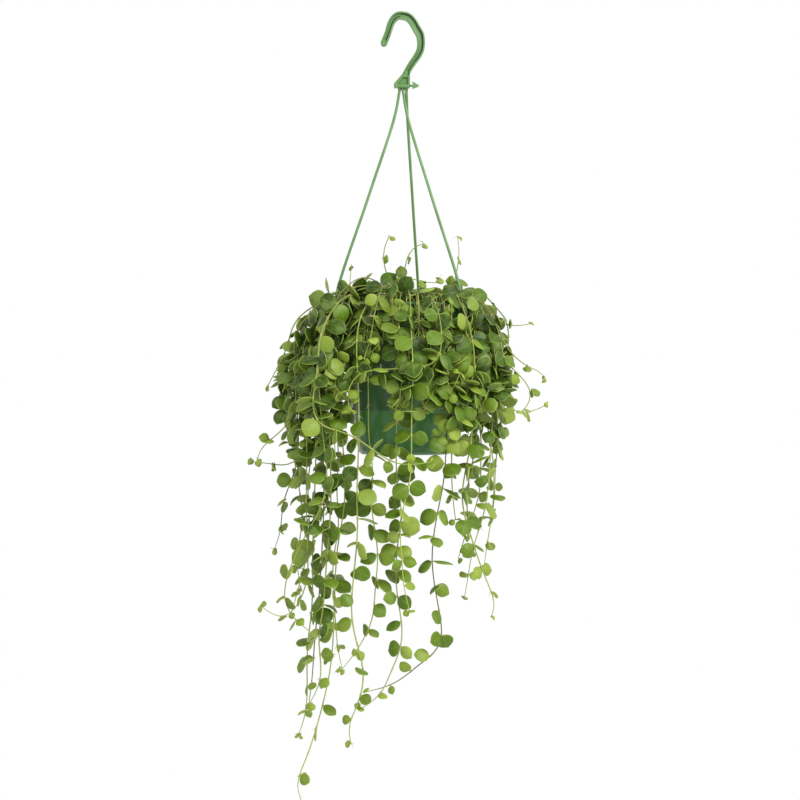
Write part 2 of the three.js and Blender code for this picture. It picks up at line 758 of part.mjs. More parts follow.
// The part
const group = new THREE.Group();
const hanging = new THREE.Group();
hanging.position.set(POT_X, 0, RIM_Z);
group.add(hanging);

function place(parent, name, solid, finish) {
  const material = new THREE.MeshStandardMaterial({ ...FINISHES[finish], metalness: 0 });
  const mesh = new THREE.Mesh(geometryOf(solid), material);
  mesh.name = name;
  parent.add(mesh);
}

const potSolid = pot();
const strandSolids = Object.keys(STRANDS).map((name) => [name, strand(name)]);
const { soilSolid, plans } = grow([potSolid, ...strandSolids.map(([, solid]) => solid)]);

place(group, 'hanger_hook', hook(), 'hanger');
for (const [name, solid] of strandSolids) {
  place(hanging, `hanger_strand_${name}`, solid, 'hanger');
}
place(hanging, 'pot', potSolid, 'pot');
place(hanging, 'soil', soilSolid, 'soil');
for (const { name, solid } of plans) {
  place(hanging, name, solid, 'vine');
}

export default group;
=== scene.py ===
import math

import bmesh
import bpy
import numpy as np
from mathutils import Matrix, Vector, noise
from mathutils.kdtree import KDTree


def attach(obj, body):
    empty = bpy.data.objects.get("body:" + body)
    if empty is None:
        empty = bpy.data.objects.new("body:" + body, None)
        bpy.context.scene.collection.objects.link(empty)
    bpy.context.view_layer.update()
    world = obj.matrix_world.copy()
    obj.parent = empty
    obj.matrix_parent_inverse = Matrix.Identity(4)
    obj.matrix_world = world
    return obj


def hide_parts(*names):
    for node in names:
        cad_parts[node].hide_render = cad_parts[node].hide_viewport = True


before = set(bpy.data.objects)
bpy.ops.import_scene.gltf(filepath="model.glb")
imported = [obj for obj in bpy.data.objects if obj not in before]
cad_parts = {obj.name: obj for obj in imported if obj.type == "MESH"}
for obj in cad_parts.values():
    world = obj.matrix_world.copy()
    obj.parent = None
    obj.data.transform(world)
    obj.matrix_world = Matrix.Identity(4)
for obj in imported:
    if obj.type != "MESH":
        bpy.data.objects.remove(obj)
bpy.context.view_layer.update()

# Driving dimensions, as in the part
POT_X = 3
RIM_Z = -305
POT_HEIGHT = 160
POT_TOP_RADIUS = 73.5
POT_BASE_RADIUS = 50
POT_WALL = 1.8
POT_FLOOR = 2.4
FOOT_RADIUS = 46
RIM_RADIUS = 77
RIM_THICKNESS = 3
DRAIN_RADIUS = 4
DRAIN_RING = 30
DRAIN_HOLES = 6
LUG_RADIUS = 5.5
STRAND_RING = 76.4
STRAND_RADIUS = 1.5
BUTTON_RADIUS = 3.4
BUTTON_GAP = 0.35
STRANDS = {"left": -71.2, "right": 48.8, "back": 168.8}
STRAND_TOPS = {"left": -3.2, "right": 0.5, "back": 4.2}
STRAND_BEND = {"at": 0.12, "pull": 0.35}
STRAND_HEIGHTS = {"straight": 12, "above": 3, "below": -5}
STRANDS_COUNT_TO = 120
HOOK_WIDTH = 9
HOOK_DEPTH = 7.6
FLANGE = 1.8
WEB = 2.8
HOOK_NARROWING = 1
POCKET_SPAN = (0.02, 0.97)
BASE_BOTTOM_Z = -73
BARB_DEPTH = 2.4
NUB_LENGTH = 3
NUB_RADIUS = 1.8
NUB_GAP = 0.3
SOIL_Z = -14
ROOT_DEPTH = 8
ROOT_RADII = [56, 44, 32, 20]
ROOT_SPACING = 7
ROOT_TURN = 0.1
ROOT_TURNS = 20
CREST_RISE = (2, 9)
RISE_PER_INSET = 0.3
WIDE_SHOULDER = {"out": 3, "drop": 0.3, "lift": 0.5}
CLOSE_SHOULDER = {"out": -2, "drop": 0.5, "lift": 0}
LEAF_LENGTH = 22
LEAF_WIDTH = 20
LEAF_SUNK = 0.5
LEAF_SIZE = (0.82, 1.06)
YOUNGEST_SIZE = 0.45
GROWTH_PER_NODE = 0.16
LEAF_DROOP = (0.15, 0.85)
LEAF_SPIN = 40
LEAF_ROLL = 45
LIGHT_OUTWARD = 0.8
LIGHT_UPWARD = 0.6
SPIN_CHOICES = [0, 30, -30, 60, -60, 90, -90]
TRAIL_INTERNODE = 26
CROWN_INTERNODE = 22
BARE_SHARE = 0.13
LEAFLESS_EVERY = 3
DENSE_STEP = 5
STEM_CLEARANCE = 8.5
RIM_CLEARANCE = 11
RIM_MIDDLE_Z = -2
WALL_CLEARANCE = 8
NEAR_WALL = 0.9
SMOOTHING = 0.3
RELAX_ROUNDS = 24

# Vines as in the part: depth in front of the pot's axis, then [right, up] from the rim
TRAILS = [
    (72, [(-65, -146), (-63, -211), (-71, -256), (-74, -319), (-77, -376), (-89, -430),
          (-103, -475), (-115, -503), (-108, -518)]),
    (38, [(-94, -146), (-96, -210), (-98, -274), (-98, -319), (-102, -349), (-104, -381),
          (-103, -413), (-106, -438), (-112, -453)]),
    (62, [(-86, -146), (-85, -210), (-88, -274), (-91, -319), (-95, -354), (-97, -392),
          (-101, -421)]),
    (84, [(-78, -146), (-77, -210), (-82, -274), (-85, -319), (-91, -352), (-86, -376),
          (-89, -400), (-99, -415)]),
    (96, [(-85, -135), (-80, -186), (-85, -210), (-100, -236), (-113, -261), (-124, -290),
          (-126, -308), (-119, -323), (-102, -337), (-92, -345)]),
    (20, [(-113, -146), (-117, -179), (-128, -203), (-132, -223), (-131, -239),
          (-135, -253), (-139, -260)]),
    (52, [(-103, -146), (-104, -210), (-102, -263), (-103, -295), (-112, -316),
          (-125, -332), (-138, -330), (-152, -317)]),
    (-22, [(-116, -146), (-115, -201), (-110, -220), (-112, -242), (-116, -263),
           (-117, -285), (-113, -306)]),
    (30, [(-100, -135), (-113, -167), (-125, -174), (-145, -168), (-164, -167)]),
    (50, [(-113, -108), (-129, -135), (-145, -146), (-157, -156), (-155, -164)]),
    (10, [(-124, -44), (-137, -68), (-147, -88)]),
    (100, [(-48, -97), (-48, -146), (-50, -200), (-49, -238), (-53, -280), (-56, -322),
           (-52, -345), (-42, -381), (-45, -403), (-52, -422), (-61, -437), (-56, -454)]),
    (90, [(-38, -97), (-38, -146), (-33, -169), (-36, -213), (-30, -242), (-28, -266),
          (-32, -301), (-33, -328), (-40, -342), (-50, -361), (-66, -380)]),
    (92, [(-9, -124), (-9, -189), (-3, -217), (-8, -247), (-10, -274), (-9, -304),
          (-3, -333), (-4, -357), (-17, -385), (-25, -407), (-45, -419)]),
    (106, [(6, -146), (6, -179), (1, -199), (-4, -219), (-6, -240), (-3, -274), (-2, -295),
           (4, -317)]),
    (84, [(42, -146), (40, -184), (31, -228), (27, -261), (28, -281), (35, -322),
          (39, -349), (30, -366), (15, -373), (-6, -393), (-24, -400), (-40, -403)]),
    (70, [(48, -146), (48, -183), (49, -205), (52, -226)]),
    (76, [(68, -146), (60, -185), (58, -210), (67, -240), (77, -272), (86, -294),
          (96, -321), (89, -326)]),
    (-40, [(77, -146), (73, -172), (66, -205), (69, -242), (62, -258), (58, -274)]),
    (40, [(90, -146), (87, -197), (81, -229), (72, -253), (68, -274), (65, -295),
          (62, -310)]),
    (10, [(99, -146), (95, -183), (96, -200), (90, -238), (85, -270), (84, -278)]),
]
BARE_STRETCHES = {11: (-152, -84), 12: (-152, -84)}
# Vines that hang in shade behind the others: their stems are painted fully dark as painted shade
SHADED_VINES = ("trail_vine_03", "trail_vine_06", "trail_vine_16")
RUNNERS = [
    (-10, [(74, -2), (94, -17), (115, -24), (135, -20)]),
    (30, [(101, -39), (114, -56), (137, -72), (148, -70), (147, -78)]),
    (50, [(101, -60), (120, -76), (133, -89), (133, -107), (122, -114)]),
    (0, [(96, -76), (106, -111), (137, -116), (151, -107)]),
    (112, [(-89, -71), (-96, -108), (-89, -129), (-59, -135), (-33, -153), (-11, -168),
           (7, -169), (26, -165)]),
    (112, [(37, -44), (33, -66), (-6, -70), (-24, -71), (-47, -72), (-58, -85), (-61, -97),
           (-57, -113)]),
    (104, [(-7, -62), (-6, -90), (13, -96), (35, -105), (50, -91), (56, -74)]),
    (84, [(-42, -7), (-16, -9), (13, -13), (33, -6), (45, 4)]),
]
CROWN_TIPS = [
    (20, [(-10, 11), (-20, 29), (-24, 46), (-24, 62), (-17, 72)]),
    (0, [(-2, 15), (-2, 37), (4, 59), (13, 68), (20, 65)]),
    (30, [(48, 6), (54, 32), (57, 46), (58, 59), (55, 71)]),
    (36, [(-22, 15), (-11, 27), (13, 26), (33, 18), (39, 20), (36, 26)]),
    (26, [(-52, 0), (-61, 14), (-59, 26), (-57, 40)]),
]
BACK_TRAILS = [(156, -330), (139, -400), (52, -250), (31, -220)]
BACK_SKIRT = {"vines": 12, "start": 6, "step": 14.6, "jitter": 3, "lowest": (-165, -95)}
FRONT_SKIRT = {"at": [226, 252, 278, 343], "lowest": (-66, -54)}
SKIRT_RADIUS = (97, 116)
BACK_RADIUS = 108
WANDER_TOP = -36
WANDER_STEP = 34
WANDER_TURN = 0.11
WANDER_OUT = (-5, 6)
WANDER_TIP_OUT = 3
RISE_SEED = 8
SKIRT_SEED = 200
BACK_SEED = 300
LEAF_SEED = 2

# Leaves that only the finer plant has: how freely they turn, how far one may cut through
# its neighbours, and which share of them grows at each depth below the rim
EXTRA_SEED = 3000
DRESSING_SEED = 2000
LEAF_TILTS = [(0, 0), (50, -0.3), (-50, 0.3)]
FREER_SPIN = 50
FREER_ROLL = 1.5
FREER_DROOP = 0.5
ALLOWED_CUT = 5.0
KEEP_DEPTHS = [0, 120, 220, 330, 420]
KEEP_SHARES = [1.0, 1.0, 0.97, 0.6, 0.3]
BARE_TIPS_FROM = 32
TIP_MATCH = 0.3

# Sprigs that fill the mound between the longer vines
SPRIG_SEED = 900
SPRIG_LEAF_SEED = 1000
SPRIG_DRESSING_SEED = 4000
CROWN_SPRIGS = 34
RIM_SPRIGS = 70
SPRIG_INTERNODE = 12.5
SPRIG_STEP = 22
SPRIG_TURN = 0.16
SPRIG_ROOT_DEPTH = 4
GOLDEN_TURN = 2.399963
FRONT_DEGREES = (235, 305)
LOWER_FRONT_FROM = 274
LOWER_FRONT = 1.9
BESIDE_WALL = 8
STEM_INSIDE_WALL = 8
STEM_OUTSIDE_WALL = 84
RIM_MIDDLE_RADIUS = 75
OVER_RIM = 6
MOUND_HEIGHTS = [-150, -90, -64, -34, -14, 3]
MOUND_RADII = [118, 124, 117, 104, 90, 78]
CREST_RADII = [0, 30, 60, 78, 92, 104, 118, 132]
CREST_HEIGHTS = [30, 22, 8, 0, -10, -22, -42, -66]
CREST_COST = 0.6
VINES_ABOVE_CREST = 3
CROWN_SPRIG = {"jitter": (-0.2, 0.2), "tall": (-3, 6), "taller": (0.2, 1.0), "out": (1, 6),
               "lean": (-0.5, 0.5), "top": (8, 16), "end": (20, 34), "bend": (-0.4, 0.4),
               "fall": (0, 8)}
CROWN_INNER, CROWN_SPREAD, CROWN_MIDDLE = 10, 50, 26
RIM_SPRIG = {"jitter": (-0.1, 0.1), "inner": (46, 62), "spread_left": (0.85, 1.02),
             "spread": (0.72, 0.98), "lowest_front": (-66, -30), "lowest": (-150, -40),
             "rise": (0, 6), "over_rim": (4, 7), "top": (-20, -10)}

# Tints against depth below the rim, painted shade that darkens the leaves of the dense mound near
# the rim (older, deeper green leaves there too) and leaves the lone lower ones paler: the power
# that darkens a leaf, and the least tint
SHADE_DARKENING = ([30, 150], [1.7, 0.9])
LEAST_TINT = ([30, 220], [0.0, 0.3])
ROOTED_SHARE = 0.5
ROOTS_AT_NODE = (0, 2.6)
AERIAL_ROOT_LENGTH = (2.5, 8)


# Every random draw comes from one of these, so each run gives the same plant
def draws_from(seed):
    state = seed * 7919 + 17

    def draw(low, high):
        nonlocal state
        state = (state * 1664525 + 1013904223) % 4294967296
        return low + (high - low) * (state / 4294967296)

    draw(0, 1)
    draw(0, 1)
    return draw


def polar(radius, angle, z):
    return (radius * math.cos(angle), radius * math.sin(angle), z)


def part_way(first, second, share):
    return tuple(a + (b - a) * share for a, b in zip(first, second))


def pot_outer_radius(z):
    return POT_BASE_RADIUS + (POT_TOP_RADIUS - POT_BASE_RADIUS) * (z + POT_HEIGHT) / POT_HEIGHT


def in_soil(point):
    return point[2] < SOIL_Z + 3 and math.hypot(point[0], point[1]) < POT_TOP_RADIUS


# Routes of the vines, grown by the same rules as in the part
def root_for(angle, roots):
    for turn in range(ROOT_TURNS):
        for radius in ROOT_RADII:
            for way in (1, -1):
                spot = polar(radius, angle + way * turn * ROOT_TURN, 0)
                if all(math.dist(root, spot) >= ROOT_SPACING for root in roots):
                    roots.append(spot)
                    return spot
    raise ValueError("no room for another root")


def rooted_route(points, roots, rise):
    first = points[0]
    angle = math.atan2(first[1], first[0])
    x, y, _ = root_for(angle, roots)
    start = (x, y, SOIL_Z - ROOT_DEPTH)
    out = (x, y, SOIL_Z - ROOT_DEPTH + TRAIL_INTERNODE)
    reach = math.hypot(first[0], first[1])
    if reach < POT_TOP_RADIUS:
        return [start, out, *points]
    lift = rise + RISE_PER_INSET * (ROOT_RADII[0] - math.hypot(x, y))
    crest = part_way(out, polar(reach, angle, 0), 0.5)[:2] + (lift,)
    turn_down = WIDE_SHOULDER if first[2] < -POT_HEIGHT / 2 else CLOSE_SHOULDER
    shoulder = polar(reach + turn_down["out"], angle,
                     turn_down["drop"] * first[2] + turn_down["lift"] * rise)
    return [start, out, crest, shoulder, *points]


def wander(degrees, radius, lowest, draw):
    points = []
    angle = math.radians(degrees)
    reach = radius
    z = WANDER_TOP
    while z > lowest:
        points.append(polar(reach, angle, z))
        angle += draw(-WANDER_TURN, WANDER_TURN)
        reach += draw(*WANDER_OUT)
        z -= WANDER_STEP
    points.append(polar(reach + WANDER_TIP_OUT, angle, lowest))
    return points


def skirt_traces():
    draw = draws_from(SKIRT_SEED)
    traces = []
    for vine in range(BACK_SKIRT["vines"]):
        degrees = BACK_SKIRT["start"] + BACK_SKIRT["step"] * vine
        turned = degrees + draw(-BACK_SKIRT["jitter"], BACK_SKIRT["jitter"])
        traces.append(wander(turned, draw(*SKIRT_RADIUS), draw(*BACK_SKIRT["lowest"]), draw))
    for degrees in FRONT_SKIRT["at"]:
        traces.append(wander(degrees, draw(*SKIRT_RADIUS), draw(*FRONT_SKIRT["lowest"]), draw))
    return traces


def on_trace(depth, path):
    return [(x, -depth, z) for x, z in path]


def curve_at(points, place):
    """A point on the smooth centripetal curve through the points; place counts spans."""
    last = len(points) - 1
    index = min(int(place), last - 1)
    weight = place - index
    one, two = points[index], points[index + 1]
    before = points[index - 1] if index else tuple(2 * a - b for a, b in zip(one, two))
    after = points[index + 2] if index + 2 <= last else tuple(
        2 * b - a for a, b in zip(one, two))
    gaps = [math.dist(a, b) ** 0.5 for a, b in ((before, one), (one, two), (two, after))]
    middle = gaps[1] if gaps[1] >= 1e-4 else 1.0
    low = gaps[0] if gaps[0] >= 1e-4 else middle
    high = gaps[2] if gaps[2] >= 1e-4 else middle
    found = []
    for x0, x1, x2, x3 in zip(before, one, two, after):
        slope1 = ((x1 - x0) / low - (x2 - x0) / (low + middle) + (x2 - x1) / middle) * middle
        slope2 = ((x2 - x1) / middle - (x3 - x1) / (middle + high) + (x3 - x2) / high) * middle
        square = -3 * x1 + 3 * x2 - 2 * slope1 - slope2
        cube = 2 * x1 - 2 * x2 + slope1 + slope2
        found.append(x1 + weight * (slope1 + weight * (square + weight * cube)))
    return tuple(found)


def dense_points(points):
    dense = []
    for span in range(len(points) - 1):
        steps = math.ceil(math.dist(points[span], points[span + 1]) / DENSE_STEP)
        dense += [curve_at(points, span + step / steps) for step in range(steps)]
    return dense + [points[-1]]


def relax(dense, fixed, earlier):
    """A vine that would cross the rim, the wall, a strand or an earlier vine bends clear."""
    tree = KDTree(len(earlier))
    for index, point in enumerate(earlier):
        tree.insert(point, index)
    tree.balance()
    dense = [list(point) for point in dense]

    def push_clear(point, other, clearance):
        away = [a - b for a, b in zip(point, other)]
        distance = math.sqrt(sum(a * a for a in away))
        if distance < clearance:
            share = (clearance - distance) / max(distance, 0.01)
            for axis in range(3):
                point[axis] += away[axis] * share

    for _ in range(RELAX_ROUNDS):
        for index in range(fixed, len(dense)):
            point = dense[index]
            if index + 1 < len(dense):
                for axis in range(3):
                    middle = (dense[index - 1][axis] + dense[index + 1][axis]) / 2
                    point[axis] += (middle - point[axis]) * SMOOTHING
            if earlier:
                push_clear(point, earlier[tree.find(point)[1]], STEM_CLEARANCE)
            reach = math.hypot(point[0], point[1])
            share = POT_TOP_RADIUS / reach
            rim = (point[0] * share, point[1] * share, RIM_MIDDLE_Z)
            push_clear(point, rim, RIM_CLEARANCE)
            if point[2] < 0 and reach > NEAR_WALL * POT_TOP_RADIUS:
                wall = pot_outer_radius(max(point[2], -POT_HEIGHT)) + WALL_CLEARANCE
                share = max(1, wall / reach)
                point[0] *= share
                point[1] *= share
    return [tuple(point) for point in dense]


def lengths_along(points):
    lengths = [0.0]
    for first, second in zip(points, points[1:]):
        lengths.append(lengths[-1] + math.dist(first, second))
    return lengths


def even_nodes(dense, internode):
    lengths = lengths_along(dense)
    count = math.floor(lengths[-1] / internode + 0.5)
    nodes = []
    span = 1
    for node in range(count + 1):
        target = lengths[-1] * node / count
        while span < len(dense) - 1 and lengths[span] < target:
            span += 1
        share = (target - lengths[span - 1]) / (lengths[span] - lengths[span - 1])
        nodes.append(part_way(dense[span - 1], dense[span], share))
    return nodes


def strand_spot(name):
    angle = math.radians(STRANDS[name])
    return (STRAND_RING * math.sin(angle), -STRAND_RING * math.cos(angle), 0)


def strand_points(name):
    """A strand leaves its nub straight down, fans out to the rim and ends in a button."""
    top = (STRAND_TOPS[name] - POT_X, 0, BASE_BOTTOM_Z - NUB_LENGTH - NUB_GAP - RIM_Z)
    spot = strand_spot(name)
    bend = part_way(top, spot, STRAND_BEND["at"])
    bend = part_way(bend, top, STRAND_BEND["pull"])[:2] + (bend[2],)
    ends = [spot[:2] + (height,) for height in STRAND_HEIGHTS.values()]
    return [top, bend, part_way(top, spot, 0.5), *ends]


def vine_plans():
    roots = []
    plans = []
    rises = draws_from(RISE_SEED)

    def plan(family, points, internode, rise, bare=(0, 0)):
        plans.append({"family": family, "internode": internode, "bare": bare,
                      "points": rooted_route(points, roots, rise)})

    for trace in CROWN_TIPS:
        plan("crown", on_trace(*trace), CROWN_INTERNODE, 0)
    for trace in RUNNERS:
        plan("runner", on_trace(*trace), CROWN_INTERNODE, rises(*CREST_RISE))
    for index, trace in enumerate(TRAILS):
        plan("trail", on_trace(*trace), TRAIL_INTERNODE, rises(*CREST_RISE),
             BARE_STRETCHES.get(index, (0, 0)))
    for index, (degrees, lowest) in enumerate(BACK_TRAILS):
        points = wander(degrees, BACK_RADIUS, lowest, draws_from(BACK_SEED + index))
        plan("back", points, TRAIL_INTERNODE, rises(*CREST_RISE))
    for points in skirt_traces():
        plan("skirt", points, CROWN_INTERNODE, rises(*CREST_RISE))
    settled = []
    for name in STRANDS:
        settled += [point for point in dense_points(strand_points(name))
                    if point[2] < STRANDS_COUNT_TO]
    counts = {}
    fixed = math.ceil(TRAIL_INTERNODE / DENSE_STEP) + 1
    for number, vine in enumerate(plans):
        vine["dense"] = relax(dense_points(vine["points"]), fixed, settled)
        settled += vine["dense"]
        vine["nodes"] = even_nodes(vine["dense"], vine["internode"])
        counts[vine["family"]] = counts.get(vine["family"], 0) + 1
        vine["name"] = f"{vine['family']}_vine_{counts[vine['family']]:02d}"
        vine["seed"] = number + LEAF_SEED
    return plans


# Leaves
def unit(vector):
    return vector / np.linalg.norm(vector)


def turned_about(vector, axis, angle):
    return (vector * math.cos(angle) + np.cross(axis, vector) * math.sin(angle)
            + axis * np.dot(axis, vector) * (1 - math.cos(angle)))


def leaf_traits(draw, node, last):
    ageing = min(1, YOUNGEST_SIZE + GROWTH_PER_NODE * (last - node))
    return {
        "bare": draw(0, 1) < BARE_SHARE and node < last - 1,
        "spin": draw(-LEAF_SPIN, LEAF_SPIN),
        "droop": draw(*LEAF_DROOP),
        "roll": draw(-LEAF_ROLL, LEAF_ROLL),
        "size": draw(*LEAF_SIZE) * ageing,
        "ageing": ageing,
    }


def leaf_pose(nodes, node, side, traits, spin):
    """How the leaf of one node sits: its direction, the way its face looks, and its size."""
    here = np.array(nodes[node])
    along = way_along(nodes, node)
    light = unit(np.array([here[0], here[1], 0])) * LIGHT_OUTWARD
    light[2] = LIGHT_UPWARD
    across = unit(np.cross(along, light))
    outward = np.cross(across, along)
    angle = math.radians(traits["spin"] + spin)
    direction = (across * math.cos(angle) + outward * math.sin(angle)) * side
    direction[2] -= traits["droop"]
    direction = unit(direction)
    face = unit(light - direction * np.dot(light, direction))
    face = turned_about(face, direction, math.radians(traits["roll"]))
    return {"here": here, "direction": direction, "face": face, "size": traits["size"],
            "ageing": traits["ageing"]}


def way_along(nodes, node):
    """The way a stem runs at one of its nodes."""
    following = nodes[min(node + 1, len(nodes) - 1)]
    return unit(np.array(following) - np.array(nodes[node - 1]))


def leaf_axes(pose):
    """Along the leaf, across it, and out of its face."""
    return np.array([pose["direction"], np.cross(pose["face"], pose["direction"]),
                     pose["face"]])


# How the crowd measures a leaf, as a flat ellipse a little smaller than its blade
PLATE_SHIFT = 0.6
PLATE_INSET = 0.9
NEARLY_PARALLEL = 0.03
BLADE_GAP = 1.1
FLAT_COST = 4.0
STEM_REACH = 1.5
STEM_GAP = 1.2
STEM_INSIDE = 0.9
OWN_STEM_UP_TO = -0.62
STEM_COST = 1.5
OUTLINE_POINTS = 12
OUTLINE_SHARES = (0.5, 1.0)
SOIL_MARGIN = 1.5
WALL_MARGIN = 1.2
RIM_MARGIN = 1
RIM_INNER_WIDTH = 3
HARDWARE_COST = 6.0


class Crowd:
    """Keeps count of the leaves and stems that are there, to place new leaves clear of them."""

    CELL = LEAF_LENGTH

    def __init__(self, stem_points):
        self.cells = {}
        self.centres, self.axes, self.halves = [], [], []
        self.stems = np.array([point for points in stem_points for point in points])
        self.owners = np.array([owner for owner, points in enumerate(stem_points)
                                for _ in points])
        self.tree = KDTree(len(self.stems))
        for index, point in enumerate(self.stems):
            self.tree.insert(point, index)
        self.tree.balance()

    @staticmethod
    def plate(pose):
        long = LEAF_LENGTH * pose["size"]
        centre = pose["here"] + pose["direction"] * (long / 2 - LEAF_SUNK + PLATE_SHIFT)
        wide = LEAF_WIDTH * pose["size"]
        return centre, leaf_axes(pose), np.array([long / 2 - PLATE_INSET, wide / 2])

    def cell(self, centre):
        return tuple(int(value // self.CELL) for value in centre)

    def add(self, pose):
        centre, axes, halves = self.plate(pose)
        self.cells.setdefault(self.cell(centre), []).append(len(self.centres))
        self.centres.append(centre)
        self.axes.append(axes)
        self.halves.append(halves)

    def near(self, centre):
        x, y, z = self.cell(centre)
        return [index for i in (-1, 0, 1) for j in (-1, 0, 1) for k in (-1, 0, 1)
                for index in self.cells.get((x + i, y + j, z + k), ())]

    def overlap(self, pose, owner):
        """How far, in mm, the leaf would cut through what is there."""
        centre, axes, halves = self.plate(pose)
        total = self.hardware(centre, axes, halves) + self.stem_cuts(centre, axes, halves, owner)
        near = self.near(centre)
        if not near:
            return total
        centres = np.array([self.centres[index] for index in near])
        frames = np.array([self.axes[index] for index in near])
        sizes = np.array([self.halves[index] for index in near])
        close = np.linalg.norm(centres - centre, axis=1) < halves[0] + sizes[:, 0]
        if not close.any():
            return total
        centres, frames, sizes = centres[close], frames[close], sizes[close]
        normals = frames[:, 2]
        lines = np.cross(np.broadcast_to(axes[2], normals.shape), normals)
        squares = (lines ** 2).sum(1)
        flat = squares < NEARLY_PARALLEL
        heights = np.abs(((centre - centres) * normals).sum(1))
        total += FLAT_COST * float((flat & (heights < BLADE_GAP)).sum())
        steep = ~flat
        if not steep.any():
            return total
        centres, frames, sizes = centres[steep], frames[steep], sizes[steep]
        normals, lines, squares = normals[steep], lines[steep], squares[steep]
        own = np.dot(axes[2], centre)
        other = (normals * centres).sum(1)
        starts = (own * np.cross(normals, lines)
                  + other[:, None] * np.cross(lines, axes[2])) / squares[:, None]
        lines /= np.sqrt(squares)[:, None]
        low1, high1 = self.chord(starts - centre, lines, axes[None], halves[None])
        low2, high2 = self.chord(starts - centres, lines, frames, sizes)
        shared = np.minimum(high1, high2) - np.maximum(low1, low2)
        return total + float(np.clip(np.nan_to_num(shared, nan=-1.0), 0, None).sum())

    @staticmethod
    def chord(starts, lines, frames, sizes):
        """Where a line enters and leaves each leaf's outline."""
        u0 = (starts * frames[:, 0]).sum(1) / sizes[:, 0]
        v0 = (starts * frames[:, 1]).sum(1) / sizes[:, 1]
        du = (lines * frames[:, 0]).sum(1) / sizes[:, 0]
        dv = (lines * frames[:, 1]).sum(1) / sizes[:, 1]
        a, b, c = du * du + dv * dv, u0 * du + v0 * dv, u0 * u0 + v0 * v0 - 1
        inside = b * b - a * c
        root = np.sqrt(np.where(inside > 0, inside, np.nan))
        return (-b - root) / a, (-b + root) / a

    def stem_cuts(self, centre, axes, halves, owner):
        found = [index for _, index, _ in self.tree.find_range(centre, halves[0] + STEM_REACH)]
        if not found:
            return 0.0
        offsets = self.stems[found] - centre
        u = offsets @ axes[0] / halves[0]
        v = offsets @ axes[1] / halves[1]
        height = np.abs(offsets @ axes[2])
        inside = (u * u + v * v < STEM_INSIDE) & (height < STEM_GAP)
        own = self.owners[found] == owner
        inside &= ~own | (u > OWN_STEM_UP_TO)
        return STEM_COST * float(inside.sum())

    @staticmethod
    def hardware(centre, axes, halves):
        """Counts the leaf's points that would lie in the pot, its rim or the soil."""
        angles = np.linspace(0, 2 * math.pi, OUTLINE_POINTS, endpoint=False)
        points = [centre]
        for share in OUTLINE_SHARES:
            points += [centre + share * (halves[0] * math.cos(angle) * axes[0]
                                         + halves[1] * math.sin(angle) * axes[1])
                       for angle in angles]
        points = np.array(points)
        reach = np.hypot(points[:, 0], points[:, 1])
        z = points[:, 2]
        wall = pot_outer_radius(np.clip(z, -POT_HEIGHT, 0))
        soil_top = SOIL_Z + SOIL_MARGIN
        in_pot = (z > -POT_HEIGHT - 1) & (z < soil_top) & (reach < wall + WALL_MARGIN)
        in_rim = ((z >= soil_top) & (z < RIM_MARGIN) & (reach > wall - RIM_INNER_WIDTH)
                  & (reach < RIM_RADIUS + RIM_MARGIN))
        return HARDWARE_COST * float((in_pot | in_rim).sum())


# A blade's corners round its rim; its rings, as a share of its outline and the side of the
# blade they are on; the range of each of its traits; and its thickness and curves, in mm
AROUND = 20
RINGS = [(0.42, 1), (0.84, 1), (0.965, 1), (1.0, 0), (0.965, -1), (0.6, -1)]
BLADE_TRAITS = {"width": (0.8, 1.0), "point": (0.02, 0.06), "taper": (0.1, 0.42),
                "dome": (0.5, 1.7), "curl": (-0.6, 2.4), "cup": (-1.3, 1.5),
                "twist": (-0.16, 0.16), "wave": (0.0, 0.35), "phase": (0, 6.28)}
BASE_TAPER = 0.7
BLADE_SWELL = 0.62
BLADE_EDGE = 0.28
CURL_CENTRE = 0.35
CURL_GAIN = 2.2
WAVES = 3
STALK = 1.4
STALK_RADII = [0.75, 0.62, 0.5]
STALK_SIDES = 5
LEAF_EXTRA = -0.2
PALE_SHARE = 0.05
PALE_TONE = 0.35


def leaf_faces():
    """The faces of one blade: a fan, rings over the rim, and a fan underneath."""
    faces = [(0, 1 + side, 1 + (side + 1) % AROUND) for side in range(AROUND)]
    for ring in range(len(RINGS) - 1):
        first, second = 1 + ring * AROUND, 1 + (ring + 1) * AROUND
        faces += [(first + side, second + side, second + (side + 1) % AROUND,
                   first + (side + 1) % AROUND) for side in range(AROUND)]
    below = 1 + len(RINGS) * AROUND
    last = below - AROUND
    faces += [(last + side, below, last + (side + 1) % AROUND) for side in range(AROUND)]
    return faces


LEAF_FACES = leaf_faces()
LEAF_ANGLES = np.linspace(0, 2 * math.pi, AROUND, endpoint=False)


